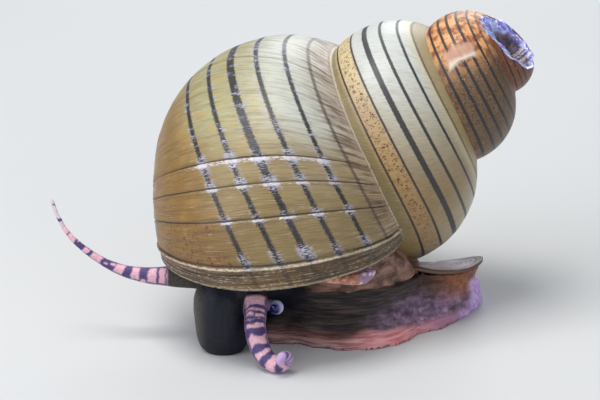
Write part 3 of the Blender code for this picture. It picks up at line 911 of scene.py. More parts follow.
class ShellPaint(Paint):
    """Paint for the shell's outside, with its places on the spiral and its noises."""

    def __init__(self, name):
        super().__init__(name)
        self.growth, section, self.line = map(self.attribute, ("growth", "section", "line"))
        x, y, self.z = self.place()
        self.spot = self.vector(x, y, self.z)
        self.body = self.grown(*BODY_WHORL)
        self.spire = 1.0 - self.body
        # On the spire the bands drift aside a little, once in each turn.
        turned = self.math("COSINE", self.growth + radians(25))
        self.degrees = section * (180 / pi) + 3.0 * self.spire * self.most(turned, 0.0)
        self.fine = self.streaks(126.0, 0.112, 3.0, 0.65)
        self.coarse = self.streaks(33.6, 0.0256, 3.0, 0.6)
        self.fleck = self.streaks(154.0, 0.512, 2.0, 0.7)
        self.stripes = self.streaks(75.0, 0.0256, 4.0, 0.75)
        self.ragged = self.line + (self.streaks(8.4, 0.48, 3.0, 0.7) - 0.5) * 0.018
        self.grit = self.noise(self.spot, 7.0, 3.0, 0.7)
        self.patch = self.noise(self.spot, 0.55, 2.0, 0.5)
        self.lip = self.along(LEDGE, LEDGE + 0.012)

    def streaks(self, along, across, detail, roughness):
        """Noise that is scaled apart along the spiral and across the whorl."""
        where = self.vector(self.line * along, self.degrees * across)
        return self.noise(where, 1.0, detail, roughness)

    def grown(self, low, high):
        """A smooth step by the growth angle."""
        return self.step(self.growth, low, high)

    def along(self, low, high):
        """A smooth step by the growth line, counted back from the lip."""
        return self.step(self.line, low, high)

    def across(self, low, high):
        """A smooth step by the degrees across the whorl."""
        return self.step(self.degrees, low, high)

    def up(self, low, high):
        """A smooth step by height."""
        return self.step(self.z, low, high)


def shell_ground(p):
    """Cream, olive and ochre on the body whorl, paler on the spire, and rusty by the tip."""
    wide = p.streaks(4.9, 0.04, 2.0, 0.5)
    grooves = p.streaks(50.4, 0.048, 3.0, 0.7)
    clouds = p.noise(p.spot, 1.3, 3.0, 0.6)
    cream = p.mix(wide, (184, 178, 138), (166, 162, 124))
    olive = p.mix(p.coarse, (158, 136, 88), (138, 114, 68))
    bronze = p.mix(p.coarse, (152, 130, 84), (124, 104, 64))
    ochre = p.mix(p.coarse, (120, 86, 36), (158, 120, 56))
    ochre = p.mix(p.step(p.patch, 0.45, 0.6) * 0.5, ochre, (170, 126, 60))
    pale = p.mix(wide, (218, 222, 220), (202, 204, 196))
    orange = p.mix(wide, (186, 142, 80), (196, 158, 98))
    rust = p.fade(clouds, 0.38, 0.60, (156, 80, 40), (250, 184, 122))
    brown = p.fade(p.grit, 0.3, 0.7, (56, 40, 30), (128, 98, 64))
    ground = p.layers(
        cream,
        (p.across(-6.0, -30.0) * 0.9, (204, 207, 198)),
        (p.step(clouds, 0.48, 0.62) * p.across(-32.0, -8.0) * 0.5, (192, 164, 96)),
        (p.along(-1.1, -0.7) * 0.85, olive),
        (p.along(-0.7, -0.35) * 0.8, bronze),
        (p.across(8.0, 34.0) * 0.9 * p.body, ochre),
        (p.along(-0.5, -0.1) * p.across(8.0, 34.0) * 0.45, (100, 70, 32)),
        (p.across(-38.0, -58.0) * 0.55 * p.body, (176, 150, 128)),
        (p.spire, pale),
        # Partly its own tone, partly painted shade: the spire darker low down, its orange strip
        # lighter on top.
        (p.spire * p.up(20.5, 15.0) * 0.4, (196, 186, 146)),
        (p.spire * p.up(21.5, 10.5) * 0.95, (144, 116, 66)),
        (p.spire * p.across(2.0, 9.0) * 0.7, orange),
        (p.spire * p.up(17.5, 21.0) * p.across(2.0, 9.0) * 0.8, (232, 212, 162)),
        (p.spire * p.up(14.0, 8.0) * p.across(2.0, 9.0) * 0.5, (124, 104, 66)),
        (p.spire * p.across(18.0, 23.0) * 0.85, (130, 116, 74)),
        (p.spire * p.across(-38.0, -44.0) * 0.5, (222, 210, 164)),
        (p.spire * p.across(-44.0, -49.0) * 0.7, (158, 134, 80)),
        (p.grown(-11.4, -12.2), rust),
        (p.between(p.growth, -13.6, -11.5, 0.3) * 0.9 * p.across(34.0, 4.0), brown),
        # Painted shade: darker brown low on the third whorl, where shade falls.
        (p.between(p.growth, -14.5, -11.5, 0.3) * 0.85 * p.up(22.5, 18.0), brown),
        (p.grown(-17.6, -18.6), p.mix(p.grit, (90, 48, 32), (150, 84, 50))),
    )
    # Growth lines darken it a little, most near the suture of the last whorl.
    shoulder = p.across(-36.0, -52.0) * p.body
    return p.layers(
        ground,
        (p.step(p.coarse, 0.54, 0.34) * (0.22 * p.body + 0.10 + 0.35 * shoulder), (96, 70, 44)),
        (p.step(p.fine, 0.48, 0.32) * 0.36, (96, 76, 50)),
        (p.step(p.fine, 0.58, 0.72) * 0.32, (226, 220, 204)),
        (p.step(grooves, 0.52, 0.40) * shoulder * 0.75, (92, 68, 50)),
        (p.step(grooves, 0.56, 0.68) * shoulder * 0.5, (206, 194, 176)),
    )


def shell_specks(p):
    """Where there are rust specks: in patches low on the left, and along the spire's edge."""
    dots = p.step(p.cells(p.spot, 2.3), 0.46, 0.32)
    small_dots = p.step(p.cells(p.spot, 4.4), 0.34, 0.24)
    low_left = p.between(p.degrees, 20.0, 60.0, 5.0) * p.along(-0.45, -0.38)
    spire_edge = p.spire * p.between(p.degrees, 6.0, 18.0, 3.0) * p.grown(-12.0, -11.0)
    speckled = p.most(low_left * p.step(p.patch, 0.42, 0.54), spire_edge)
    return speckled * p.most(dots * p.step(p.grit, 0.45, 0.6),
                             small_dots * p.step(p.grit, 0.4, 0.55))


def shell_bands(p):
    """Where the dark bands and the faint one are, with ragged edges, and what is near them."""
    ragged = (p.fleck - 0.5) * (1.3 + 2.2 * p.along(-1.7, -0.75)) + (p.grit - 0.5) * 0.9
    ragged = p.degrees + ragged
    near_tip = p.grown(-11.0, -12.5)
    width = 1.0 + (SPIRE_WIDER - 1.0) * p.grown(-5.0, -7.0) + 0.5 * near_tip
    narrow = (1.0 - 0.3 * p.along(-0.8, -0.5)) * (1.0 - 0.4 * near_tip)
    slim = 1.0 - 0.35 * p.between(p.growth, -11.5, -6.0, 0.6)
    bands, beside = [], []
    for (centre, half), share in zip(BANDS, (slim, slim, narrow, 1.0, 1.0)):
        off = p.math("ABSOLUTE", ragged - centre)
        reach = width * half * share
        bands.append(p.step(off, reach + 0.55, reach - 0.35))
        beside.append(p.step(off, half + 2.6, half + 0.2))
    centre, half = FAINT_BAND
    off = p.math("ABSOLUTE", ragged - centre)
    faint = p.step(off, width * half + 0.6, width * half - 0.4)
    return p.most(*bands), faint, p.most(*beside)


def shell_wear(p, near_band):
    """Where the bands' skin flakes to a bluish white, most of all beside the rests."""
    clusters = p.streaks(18.2, 0.112, 2.0, 0.5)
    wear = 0.10 + 0.2 * p.step(p.patch, 0.45, 0.7)
    wear = wear + 0.32 * p.step(clusters, 0.48, 0.60) * p.along(-0.66, -0.78)
    for place in RESTS:
        wear = wear + 0.34 * p.between(p.line, place - 0.035, place + 0.045, 0.03)
    wear = wear + 0.22 * p.between(p.line, RESTS[2], RESTS[1], 0.02)
    wear = wear + 0.34 * p.between(p.line, LEDGE - 0.10, LEDGE, 0.03)
    flaked = p.step(p.fleck + wear * 0.42, 0.66, 0.78) * near_band * p.along(-2.6, -1.4)
    return flaked * p.step(wear, 0.1, 0.5)


def shell_rests(p, painted, near_band):
    """The rests: a dark line with a frayed white hem on the lip's side of it."""
    seen = p.between(p.degrees, -36.0, 25.0, 7.0)
    for place, (width, strength) in zip(RESTS, HEMS):
        hem = p.between(p.ragged, place + 0.005, place + width, 0.006) * seen
        hem = hem * p.step(p.fleck + strength + 0.3 * near_band, 0.62, 0.78)
        crack = p.stroke(p.line + (p.coarse - 0.5) * 0.006, place, 0.0055)
        painted = p.layers(painted, (hem * 0.95, (228, 222, 230)), (crack * 0.85, (42, 30, 22)))
    for place in OLD_RESTS:
        painted = p.mix(p.stroke(p.line, place, 0.009) * 0.45, painted, (110, 88, 60))
    return painted


def shell_lip(p, painted, bands):
    """The lip: brown stripes below a pale, broken ridge."""
    stripes = p.layers(
        p.fade(p.stripes + 0.25 * (p.fleck - 0.5), 0.40, 0.60, (28, 22, 19), (114, 90, 58)),
        (p.step(p.coarse, 0.45, 0.6) * 0.4, (150, 108, 54)),
        (p.step(p.stripes + 0.6 * (p.fleck - 0.5), 0.57, 0.67) * 0.9, (212, 202, 188)),
        (bands * 0.45 * p.step(p.coarse, 0.4, 0.55), (34, 30, 30)),
    )
    ridge = p.between(p.ragged, LEDGE - 0.002, LEDGE + 0.010, 0.005) * p.step(p.fleck, 0.34, 0.5)
    shade = p.between(p.ragged, LEDGE - 0.022, LEDGE - 0.007, 0.005)
    rim = p.along(-0.014, -0.008) * p.step(p.fleck, 0.36, 0.5)
    return p.layers(
        painted,
        (p.lip * 0.95, stripes),
        (ridge * 0.85, p.mix(p.fleck, (166, 140, 108), (232, 224, 214))),
        (shade * p.step(p.coarse + 0.3 * p.fleck, 0.5, 0.72) * 0.85, (30, 26, 26)),
        (rim * 0.7, (196, 178, 146)),
    )


def shell_scars(p, painted):
    """A crackled strip and a welt along the suture, a scar, and pale grains near the tip."""
    strip = p.across(-55.0, -59.0) * p.body * p.step(p.fleck, 0.45, 0.6)
    welt = p.between(p.degrees + (p.fleck - 0.5) * 1.2, *SUTURE_WELT, 0.25) * p.body
    blur = p.noise(p.spot, 1.1) - 0.5
    edge = p.growth + blur * 0.16
    scar = p.between(edge, *SCAR, 0.05) * p.between(p.degrees + blur * 16, -28.0, 12.0, 3.0)
    grains = p.step(p.cells(p.spot, 3.6), 0.16, 0.08) * p.grown(-12.6, -13.6)
    return p.layers(
        painted,
        (strip * 0.6, (196, 180, 156)),
        (welt * 0.8, (226, 214, 198)),
        (scar * 0.9, p.fade(edge, -13.86, -13.76, (204, 158, 136), (244, 230, 210))),
        (grains * 0.75, (236, 214, 176)),
    )


def shell_paint():
    """Olive and cream skin with dark spiral bands, worn white at the growth rests."""
    p = ShellPaint("shell_banded")
    bands, faint, near_band = shell_bands(p)
    flaked = shell_wear(p, near_band)
    ink = p.fade(p.fleck, 0.4, 0.62, (7, 7, 15), (44, 45, 62))
    painted = p.layers(
        shell_ground(p),
        (shell_specks(p) * 0.95, (96, 34, 12)),
        (faint * 0.75, (70, 54, 54)),
        (bands * 0.95, p.mix(p.spire * 0.5, ink, (26, 24, 18))),
        (flaked * 0.85, p.mix(p.fine, (140, 142, 186), (236, 234, 244))),
    )
    painted = shell_rests(p, painted, near_band)
    painted = shell_lip(p, painted, bands)
    p.set("Base Color", shell_scars(p, painted))
    relief = p.bump(p.coarse * p.body, 0.07, p.bump(p.stripes * p.lip, 0.16))
    relief = p.bump(flaked * p.fleck, 0.05, p.bump(p.fine, 0.05, relief))
    p.set("Normal", relief)
    p.set("Roughness", 0.34 + 0.22 * p.grit + flaked * 0.1)
    p.coat(0.22, 0.28)
    return p.look


def lip_inside_paint():
    """The smooth inside of the lip, bluish white and stained brown."""
    p = Paint("shell_inside", 0.3)
    stain = p.noise(p.vector(*p.place()), 0.8, 3.0)
    p.set("Base Color", p.fade(stain, 0.35, 0.65, (196, 190, 186), (132, 104, 78)))
    p.set("Normal", p.bump(stain, 0.05))
    return p.look


def pearl_paint():
    """The broken tip: a violet pearly rim round a hollow painted dark brown with depth, as its
    shade.
    """
    p = Paint("shell_pearl", 0.22)
    spot = p.vector(*p.place())
    swirl = p.noise(spot, 1.6, 3.0, 0.6)
    pearl = p.fade(swirl, 0.4, 0.6, (120, 112, 214), (176, 190, 250))
    pearl = p.fade(p.noise(spot, 3.4, 2.0), 0.55, 0.65, pearl, (236, 238, 255))
    hollow = p.fade(swirl, 0.4, 0.62, (46, 30, 44), (120, 90, 130))
    # Painted shade: the hollow darkens with its depth.
    p.set("Base Color", p.fade(p.attribute("depth"), 0.12, 0.5, pearl, hollow))
    p.set("Normal", p.bump(p.noise(spot, 3.0, 3.0), 0.12))
    p.coat(0.5, 0.1)
    return p.look


# ------------------------------------------------------------------- the skin's finish

# Dark rings on the feelers: millimetres along from the first station, and half width.
RINGS_LEFT = ((2.80, 0.13), (3.28, 0.10), (3.72, 0.09), (4.02, 0.15), (4.82, 0.27), (6.15, 0.22),
              (7.15, 0.26), (8.05, 0.12), (8.6, 0.03), (8.85, 0.03), (9.1, 0.03), (9.35, 0.03),
              (9.6, 0.03))
RINGS_RIGHT = ((4.15, 0.05), (4.78, 0.11), (5.85, 0.32), (7.10, 0.29), (8.65, 0.55),
               (10.3, 0.18), (11.5, 0.4), (12.6, 0.04), (13.78, 0.12), (15.0, 0.06))
# Pink cells in the dark of the right one: along, to the side, radius.
CELLS_RIGHT = ((8.32, 0.35, 0.22), (8.85, -0.15, 0.15), (5.85, -0.9, 0.2), (11.7, 0.75, 0.14))
MARK_WOBBLE = ((0.17, 1.6, 31), (0.10, 4.0, 32))
LINES_LEFT_END = 7.6          # where the dark lines down a feeler's sides end
LINES_RIGHT_END = 12.0
LEFT_ROOT = (1.75, 2.0)       # along a feeler, where its look begins
RIGHT_ROOT = (3.95, 4.15)
FOLD_DEPTH = 0.10             # relief of the skin, in millimetres
STRIA_DEPTH = 0.07
CREASE_DEPTH = 0.05
RING_DEPTH = 0.012
GRAIN_DEPTH = 0.02
FURROW_HEIGHT = 4.2           # a furrow parts the back from the foot's flank
FURROW_RISE = 0.03            # and rises this much to a millimetre of the way back
FURROW_DEPTH = 0.25
FURROW_ROLL = 0.20            # the roll of skin above it


def flank_tone(p, place, streak, mottle, grain):
    """The foot's flank: dark slate, warmer low down, and lilac behind."""
    x, y, z = place
    low = p.fade(streak, 0.35, 0.62, (84, 52, 50), (150, 100, 94))
    blotch = p.noise(p.vector(x, y, z * 1.5), 1.5, 4.0, 0.6)
    rear = p.step(x + mottle * 3.0 - z * 0.5, 0.2, 4.2) * p.step(z + mottle, 4.3, 2.2)
    lilac = p.layers((92, 78, 104), (p.step(blotch, 0.30, 0.72), (184, 146, 184)),
                     (p.step(blotch + 0.25 * grain, 0.72, 0.82) * 0.6, (204, 176, 196)))
    return p.layers(p.fade(streak, 0.40, 0.68, (24, 21, 23), (82, 66, 60)),
                    (p.step(z + mottle * 0.6, 1.9, 0.7), low),
                    (rear * p.step(mottle, 0.25, 0.60) * 0.9, lilac))


def margin_tone(p, place, streak, mottle):
    """The foot's edge: dull in front, salmon behind, with painted shadow in its pleats along the
    ground.
    """
    x, y, z = place
    salmon = p.fade(streak, 0.35, 0.65, (200, 112, 116), (240, 178, 182))
    dull = p.fade(streak, 0.35, 0.65, (112, 84, 84), (190, 150, 148))
    # Painted shadow: dark pleats along the line where the edge meets the ground.
    pleat_shadow = p.step(p.noise(p.vector(x * 3.4, y * 3.4, z * 0.6), 1.0, 2.0), 0.50, 0.60)
    return p.layers(p.fade(x + mottle * 1.5, -2.6, 2.4, dull, salmon),
                    (p.step(x, 4.0, 7.0) * 0.7, (150, 108, 150)),
                    (pleat_shadow * p.step(z, 0.30, 0.08) * 0.85, (34, 22, 26)))


def head_tone(p, place, grain):
    """The head: blue-black with fine upright streaks, and greyer at the snout."""
    x, y, z = place
    upright = p.noise(p.vector(x * 4.0, y * 4.0, z * 0.4), 1.0, 2.0)
    black = p.fade(upright, 0.3, 0.8, (8, 11, 24), (20, 26, 46))
    return p.fade(x, -11.6, -12.4, black, p.fade(grain, 0.4, 0.7, (58, 56, 52), (88, 84, 76)))


def feeler_tone(p, x, grain):
    """The feelers: pink, with indigo rings, clear at their ends, and pale at their edges as a
    painted sheen.
    """
    pink = p.fade(grain, 0.4, 0.65, (230, 174, 198), (248, 206, 214))
    clear = p.fade(x, -14.0, -17.0, (170, 158, 218), (214, 214, 222))
    indigo = p.mix(grain, (38, 34, 88), (76, 70, 134))
    return p.layers(pink, (p.attribute("pale") * 0.75, clear),
                    (p.attribute("ring") * 0.95, indigo))


def skin_paint():
    """Moist skin: each region's colour, chosen by the masks that the mesh carries."""
    p = Paint("snail_skin")
    place = x, y, z = p.place()
    spot = p.vector(*place)
    mottle = p.noise(spot, 0.9, 3.0, 0.65)
    spots = p.noise(spot, 2.6, 3.0, 0.6)
    grain = p.noise(spot, 7.0, 3.0, 0.65)
    streak = p.noise(p.vector(x * 0.45, y * 0.45, z * 6.0), 1.0, 4.0, 0.65)
    brown = p.layers(p.fade(mottle, 0.36, 0.62, (92, 66, 58), (156, 118, 102)),
                     (p.step(grain, 0.56, 0.74) * 0.4, (172, 140, 122)),
                     (p.step(streak, 0.50, 0.36) * 0.4, (44, 34, 34)))
    bubbles = p.step(p.cells(spot, 1.9), 0.30, 0.45)
    flap = p.fade(x, -1.0, -0.2, p.fade(spots, 0.38, 0.62, (176, 116, 98), (232, 178, 156)),
                  p.mix(bubbles, (232, 212, 228), (160, 132, 168)))
    p.set("Base Color", p.layers(
        flank_tone(p, place, streak, mottle, grain),
        (p.attribute("margin"), margin_tone(p, place, streak, mottle)),
        (p.attribute("tail") * 0.85, p.fade(spots, 0.25, 0.75, (112, 72, 54), (178, 108, 66))),
        (p.attribute("fold"), brown),
        (p.attribute("rim"), p.fade(spots, 0.35, 0.65, (190, 150, 222), (230, 204, 250))),
        (p.attribute("mantle"), flap),
        # Painted shade: near-black in the furrow between the back and the foot's flank.
        (p.attribute("furrow_shade") * 0.85, (16, 13, 18)),
        (p.attribute("dark"), head_tone(p, place, grain)),
        (p.attribute("feeler"), feeler_tone(p, x, grain)),
    ))
    p.set("Normal", p.bump(grain, 0.03, p.bump(streak, 0.08)))
    p.set("Roughness", 0.42 + 0.2 * grain)
    p.set("Specular IOR Level", 0.35)
    p.set("Subsurface Weight", 0.12)
    p.shader.inputs["Subsurface Radius"].default_value = (1.0, 0.5, 0.4)
    p.shader.inputs["Subsurface Scale"].default_value = 0.4 * MM
    p.coat(0.08, 0.3)
    return p.look


def add_mask(mesh, name, values):
    """Store a number for each point of a mesh."""
    layer = mesh.attributes.new(name, "FLOAT", "POINT")
    layer.data.foreach_set("value", np.asarray(values, np.float32))


def sole_distance(x, y):
    """Distance on the ground from the outline of the sole."""
    outline = smooth_path(FOOT_STATIONS, 240)
    turns = np.radians(outline[:, 2])
    nearest = np.full(len(x), np.inf)
    for side in (-1, 1):
        edge_x = outline[:, 0] + side * outline[:, 3] * np.sin(turns)
        edge_y = outline[:, 1] - side * outline[:, 3] * np.cos(turns)
        for px, py in zip(edge_x, edge_y):
            nearest = np.minimum(nearest, np.hypot(x - px, y - py))
    return nearest


def skin_regions(points, left, right):
    """How far each point of the skin belongs to each of its regions, from 0 to 1."""
    x, y, z = points.T
    on = SimpleNamespace()
    on.left = left.near() * smooth_step(left.along, *LEFT_ROOT)
    on.left *= 1 - smooth_step(left.along, 3.7, 3.3) * smooth_step(left.gap, 0.04, 0.10)
    on.right = right.near() * smooth_step(right.along, *RIGHT_ROOT)
    stalk_left, stalk_right, snout, neck, lobe = (
        Path(points, stations).reach for stations in
        (STALK_LEFT, STALK_RIGHT, SNOUT_STATIONS, NECK_STATIONS, LOBE_STATIONS))
    on.stalk = smooth_step(np.minimum(stalk_left, stalk_right), 1.5, 1.15)
    head_off = np.linalg.norm((points - HEAD_CENTRE) / HEAD_HALF[0], axis=1)
    on.head = smooth_step(np.minimum(np.minimum(snout, neck * 0.9), head_off), 1.35, 1.1)
    on.head *= smooth_step(x, -3.0, -5.0)
    on.head = np.maximum(on.head, right.near() * smooth_step(right.along, *RIGHT_ROOT[::-1]))
    on.mantle = smooth_step(lobe, 1.5, 1.15) * (1 - on.head)
    on.fold = smooth_step(z - FURROW_RISE * x, 4.05, 4.3) * smooth_step(x, -5.0, -2.5)
    wander = 0.35 * noise(points, 0.6, 41)
    on.margin = smooth_step(z + wander - 0.6 * bump_at(x, 1.6, 2.2), 0.95, 0.35)
    on.margin *= smooth_step(sole_distance(x, y), 1.9, 1.0)
    on.tail = smooth_step(x + wander * 2, 5.2, 8.2) * smooth_step(z + wander, 1.3, 2.6)
    on.rim = smooth_step(x + wander, 9.0, 10.4) * smooth_step(z, 3.4, 2.6)
    on.rim = np.maximum(on.rim, smooth_step(x, 7.5, 9.5) * smooth_step(z + wander, 0.9, 0.4))
    return on


def skin_relief(points, left, right, on):
    """Height of the relief, and where the furrow is.

    There are long folds on the neck, striae on the foot and rings on the feelers.
    """
    x, y, z = points.T
    free = (1 - on.head) * (1 - on.left) * (1 - on.right) * (1 - on.stalk)
    warp = noise(points, 0.5, 21)
    folds = np.sin(2 * pi * (0.75 * z + 0.22 * x + 0.9 * warp)) * on.fold * free
    striae = noise(points * (0.45, 0.45, 3.2), 1.0, 22) * (1 - on.fold) * free
    creases = noise(points * (0.9, 0.9, 1.6), 1.0, 23) * free
    rings = np.sin(2 * pi * (left.along + 0.05 * warp) / 0.24) * on.left
    rings += np.sin(2 * pi * (right.along + 0.05 * warp) / 0.22) * on.right
    height = FOLD_DEPTH * folds + STRIA_DEPTH * striae + CREASE_DEPTH * creases
    height += RING_DEPTH * rings + GRAIN_DEPTH * noise(points, 2.0, 24)
    above = z - FURROW_RISE * x - FURROW_HEIGHT + 0.10 * warp
    reach = smooth_step(x, -6.0, -4.0) * smooth_step(x, 7.5, 5.5) * (np.abs(y) > 1.5) * free
    furrow = bump_at(above, 0.0, 0.16) * reach
    height += (FURROW_ROLL * bump_at(above, 0.45, 0.3) - FURROW_DEPTH * furrow) * reach
    return height * smooth_step(z, 0.02, 0.3), furrow


def feeler_marks(points, left, right, on):
    """Dark rings and side lines on the feelers; pale clear ends, and a painted sheen along their
    edges.
    """
    dark = np.zeros(len(points))
    clear = on.right * smooth_step(right.along, 12.6, 14.2)
    wobble = rough(points, MARK_WOBBLE)
    for feeler, here, rings, cells, end in (
            (left, on.left, RINGS_LEFT, (), LINES_LEFT_END),
            (right, on.right, RINGS_RIGHT, CELLS_RIGHT, LINES_RIGHT_END)):
        for centre, half in rings:
            off = np.abs(feeler.along + wobble - centre)
            dark = np.maximum(dark, here * smooth_step(off, half + 0.08, half - 0.05))
        side = feeler.side + 0.5 * wobble
        lines = np.maximum(smooth_step(side, 0.72, 0.84), smooth_step(-side, 0.80, 0.90))
        lines *= smooth_step(feeler.along, 2.2, 2.7) * smooth_step(feeler.along, end, end - 1)
        dark = np.maximum(dark, here * lines * 0.85)
        for along, across, radius in cells:
            off = np.hypot(feeler.along + wobble - along, 0.7 * (feeler.side - across))
            dark *= 1 - smooth_step(off, radius + 0.05, radius - 0.08) * here
        # Painted sheen: pale along each feeler's outline as seen from SIDE_FACING, and less dark
        # there.
        edge = smooth_step(np.abs(feeler.side), 0.955, 0.985) * here
        edge *= smooth_step(feeler.along, 3.0, 3.5)
        clear = np.maximum(clear, edge)
        dark *= 1 - 0.8 * edge
    clear = np.maximum(clear, 0.8 * on.left * smooth_step(left.along, 8.0, 9.0))
    middle_line = smooth_step(np.abs(left.side), 0.14, 0.05) * bump_at(left.along, 3.4, 0.45)
    dark = np.maximum(dark, on.left * middle_line)
    return np.maximum(dark, on.stalk * 0.9), clear


def make_skin(mouth_loop, lip_count):
    """One skin for the whole body, with folds, fine wrinkles and its masks of colour."""
    points, quads = make_skin_shape(mouth_loop, lip_count)
    left, right = Path(points, TENTACLE_LEFT), Path(points, TENTACLE_RIGHT)
    on = skin_regions(points, left, right)
    height, furrow = skin_relief(points, left, right, on)
    points = points + quad_normals(points, quads) * height[:, None]
    points[:, 2] = np.maximum(points[:, 2], 0.0)
    skin = new_piece("snail_skin", points, quads.tolist(), (skin_paint(),))
    ring, pale = feeler_marks(points, left, right, on)
    masks = {"dark": on.head * (1 - on.left) * (1 - on.stalk),
             "feeler": np.maximum(np.maximum(on.left, on.right), on.stalk),
             "ring": ring, "pale": pale, "margin": on.margin, "tail": on.tail, "rim": on.rim,
             "fold": on.fold * (1 - on.head), "mantle": on.mantle, "furrow_shade": furrow}
    for name, values in masks.items():
        add_mask(skin.data, name, values)
    return skin


# ------------------------------------------------------------------------ eyes and lid

EYE_LEFT_LOOK = (-0.30, -0.27, 0.91)  # where the left pupil faces: right, up, to the viewer
EYE_STEPS = (48, 32)
PUPIL = radians(40)
PUPIL_SWELL = 0.06            # the pupil bulges by this share of the eye


def eye_paint():
    """A moist eye: navy pupil, blue ring, and a clear pale bulb."""
    p = Paint("snail_eye", 0.14)
    away = p.attribute("away")
    bulb = p.fade(away, 0.7, 1.3, (96, 96, 168), (210, 210, 240))
    p.set("Base Color", p.fade(away, PUPIL * 1.12, PUPIL * 0.85, bulb, (14, 14, 84)))
    p.coat(0.2, 0.1)
    return p.look


def make_eye(name, node, look_from, look):
    """An eye in the place of the solid one, with its pupil turned along a direction."""
    low, high = (np.array(c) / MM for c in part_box(node))
    centre, radius = (low + high) / 2, (high - low).max() / 2
    work = bmesh.new()
    bmesh.ops.create_uvsphere(work, u_segments=EYE_STEPS[0], v_segments=EYE_STEPS[1], radius=1.0)
    turn = Vector((0, 0, 1)).rotation_difference(Vector(look_from)).to_matrix()
    directions = np.array([turn @ v.co for v in work.verts])
    faces = [tuple(v.index for v in face.verts) for face in work.faces]
    work.free()
    away = np.arccos(np.clip(directions @ (np.array(look_from) / np.linalg.norm(look_from)), -1, 1))
    swell = radius * (1 + PUPIL_SWELL * smooth_step(away, 1.1, 0.2))
    eye = new_piece(name, centre + directions * swell[:, None], faces, (look,))
    add_mask(eye.data, "away", away)
    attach(eye, "root")
    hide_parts(node)


def make_eyes():
    """Both eyes; the right one looks the mirrored way across the head."""
    look = eye_paint()
    gaze = sum(n * d for n, d in zip(EYE_LEFT_LOOK, (VIEW_RIGHT, VIEW_UP, VIEW_BACK)))
    across = np.array((sin(HEAD_HEADING), -cos(HEAD_HEADING), 0.0))
    make_eye("eye_bulb_left", "eye_left", gaze, look)
    make_eye("eye_bulb_right", "eye_right", gaze - 2 * gaze.dot(across) * across, look)


LID_THICK = 0.45
LID_THINNER = 0.45            # the share that its edge is thinner by
LID_RINGS = 26
LID_SIDES = 96
LID_WAVES = 70.0              # radians of its growth rings' ripple, from middle to edge
LID_RIDGE = 0.008
LID_DISH = 0.12


def lid_paint():
    """Brown horn with growth rings, lilac where it is thin."""
    p = Paint("operculum_horn", 0.38)
    reach = p.attribute("reach")
    spot = p.vector(*p.place())
    rings = p.math("SINE", reach * LID_WAVES + p.noise(spot, 5.0, 3.0) * 3.0)
    horn = p.fade(rings, -0.9, 0.9, (190, 162, 182), (208, 184, 204))
    horn = p.mix(p.step(p.noise(spot, 0.7), 0.45, 0.65) * 0.6, horn, (146, 110, 104))
    p.set("Base Color", p.fade(reach, 0.74, 0.94, horn, (96, 66, 56)))
    p.set("Normal", p.bump(rings, 0.01))
    p.coat(0.1)
    return p.look


def make_lid():
    """The operculum: a thin dished oval plate with raised growth rings."""
    low, high = (np.array(c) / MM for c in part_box("operculum"))
    angles = np.linspace(0, 2 * pi, LID_SIDES, endpoint=False)
    shares = list(np.linspace(0.06, 1.0, LID_RINGS))
    rings, reach = [], []
    for side, order in ((-1, shares), (1, shares[::-1])):
        for share in order:
            thin = LID_THICK * (1 - LID_THINNER * share**6)
            ridge = LID_RIDGE * sin(share * LID_WAVES) if side > 0 else 0.0
            a = share * LID_HALF[0] * np.cos(angles)
            b = share * LID_HALF[1] * np.sin(angles)
            wave = 1 + 0.015 * np.sin(5 * angles) * share
            level = lid_fall(a, b) + side * thin / 2 + ridge - LID_DISH * (1 - share)
            rings.append((low + high) / 2 + np.stack([a * wave, b * wave, level], axis=1))
            reach += [share] * len(angles)
    verts, faces = loft(rings)
    verts[:, 2] += high[2] - verts[:, 2].max()
    lid = new_piece("operculum_plate", verts, faces, (lid_paint(),))
    add_mask(lid.data, "reach", reach)
    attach(lid, "root")
    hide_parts("operculum")


# ------------------------------------------------------------- camera, light and floor

VIEW_TARGET = np.array((-2.6, 4.3, 8.3))
VIEW_AZIMUTH = radians(12)    # the camera stands this far round to the head's side
VIEW_RISE = radians(20)
VIEW_DISTANCE = 233.0
SENSOR = 36.0
FRAME_WIDTH = 600 / 13.0      # width of the view at the target, in millimetres
VIEW_RIGHT = np.array((cos(VIEW_AZIMUTH), -sin(VIEW_AZIMUTH), 0.0))
VIEW_AHEAD = np.array((sin(VIEW_AZIMUTH), cos(VIEW_AZIMUTH), 0.0))
VIEW_UP = VIEW_AHEAD * sin(VIEW_RISE) + np.array((0, 0, cos(VIEW_RISE)))
VIEW_BACK = -VIEW_AHEAD * cos(VIEW_RISE) + np.array((0, 0, sin(VIEW_RISE)))
# Soft square lights: name, direction (right, up, to the viewer), distance, size, power, colour.
LIGHTS = (
    ("key", (-0.2, 1.0, 0.45), 260, 130, 0.46, (1.0, 0.98, 0.95)),
    ("fill", (-1.0, 0.5, 0.9), 300, 220, 0.40, (0.95, 0.97, 1.0)),
    ("front", (0.6, 0.05, 1.0), 320, 260, 0.20, (1.0, 0.97, 0.95)),
    ("back", (0.2, 0.8, -0.8), 260, 120, 0.2, (0.95, 0.98, 1.0)),
)
SKY = (0.86, 0.93, 1.0, 1.0)
SKY_STRENGTH = 0.3
FLOOR_SIZE = 4.0              # metres


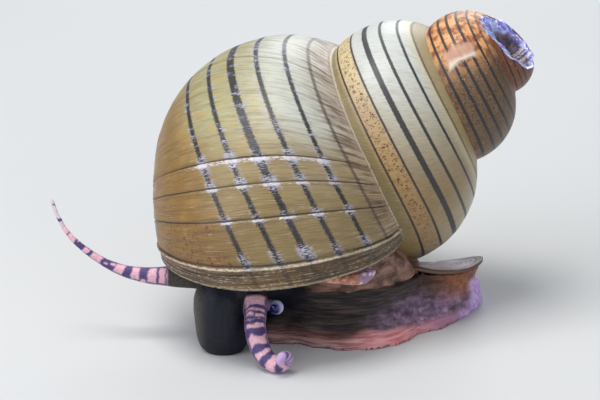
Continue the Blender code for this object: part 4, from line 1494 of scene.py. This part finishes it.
def make_camera():
    """A long lens on the snail's left, a little in front and above."""
    data = bpy.data.cameras.new("view")
    data.sensor_width = SENSOR
    data.lens = SENSOR * VIEW_DISTANCE / FRAME_WIDTH
    data.clip_start = 0.01
    camera = bpy.data.objects.new("view", data)
    place = Matrix(np.stack([VIEW_RIGHT, VIEW_UP, VIEW_BACK], axis=1).tolist()).to_4x4()
    place.translation = (VIEW_TARGET + VIEW_DISTANCE * VIEW_BACK) * MM
    camera.matrix_world = place
    bpy.context.scene.collection.objects.link(camera)
    bpy.context.scene.camera = camera


def make_light(name, direction, distance, size, power, colour):
    """A soft light aimed at the snail."""
    data = bpy.data.lights.new(name, "AREA")
    data.size = size * MM
    data.energy = power
    data.color = colour
    light = bpy.data.objects.new(name, data)
    toward = direction[0] * VIEW_RIGHT + direction[1] * VIEW_UP + direction[2] * VIEW_BACK
    toward /= np.linalg.norm(toward)
    light.location = Vector((VIEW_TARGET + toward * distance) * MM)
    light.rotation_euler = Vector(toward).to_track_quat("Z", "Y").to_euler()
    bpy.context.scene.collection.objects.link(light)


def make_studio():
    """A pale floor, a pale sky and four soft lights."""
    world = bpy.data.worlds.new("studio")
    world.use_nodes = True
    backdrop = world.node_tree.nodes["Background"]
    backdrop.inputs["Color"].default_value = SKY
    backdrop.inputs["Strength"].default_value = SKY_STRENGTH
    bpy.context.scene.world = world
    for light in LIGHTS:
        make_light(*light)
    bpy.ops.mesh.primitive_plane_add(size=FLOOR_SIZE)
    floor = bpy.context.object
    floor.name = "floor"
    p = Paint("floor_grey", 0.85)
    cloudy = p.noise(p.vector(*p.place()), 0.02)
    p.set("Base Color", p.mix(cloudy, (206, 208, 210), (214, 215, 216)))
    floor.data.materials.append(p.look)
    bpy.context.scene.view_settings.view_transform = "Standard"


def main():
    make_camera()
    make_studio()
    shell, mouth_loop, lip_count = make_shell((shell_paint(), lip_inside_paint(), pearl_paint()))
    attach(shell, "root")
    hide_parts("shell")
    skin = make_skin(mouth_loop, lip_count)
    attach(skin, "root")
    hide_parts("foot_front", "foot_rear", "tail", "trunk", "neck", "head", "snout",
                "mantle_edge", "mantle_lobe", "eye_stalk_left", "eye_stalk_right",
                *("tentacle_%s_%s" % (side, part) for side in ("left", "right")
                  for part in ("base", "middle", "tip")))
    make_eyes()
    make_lid()


main()
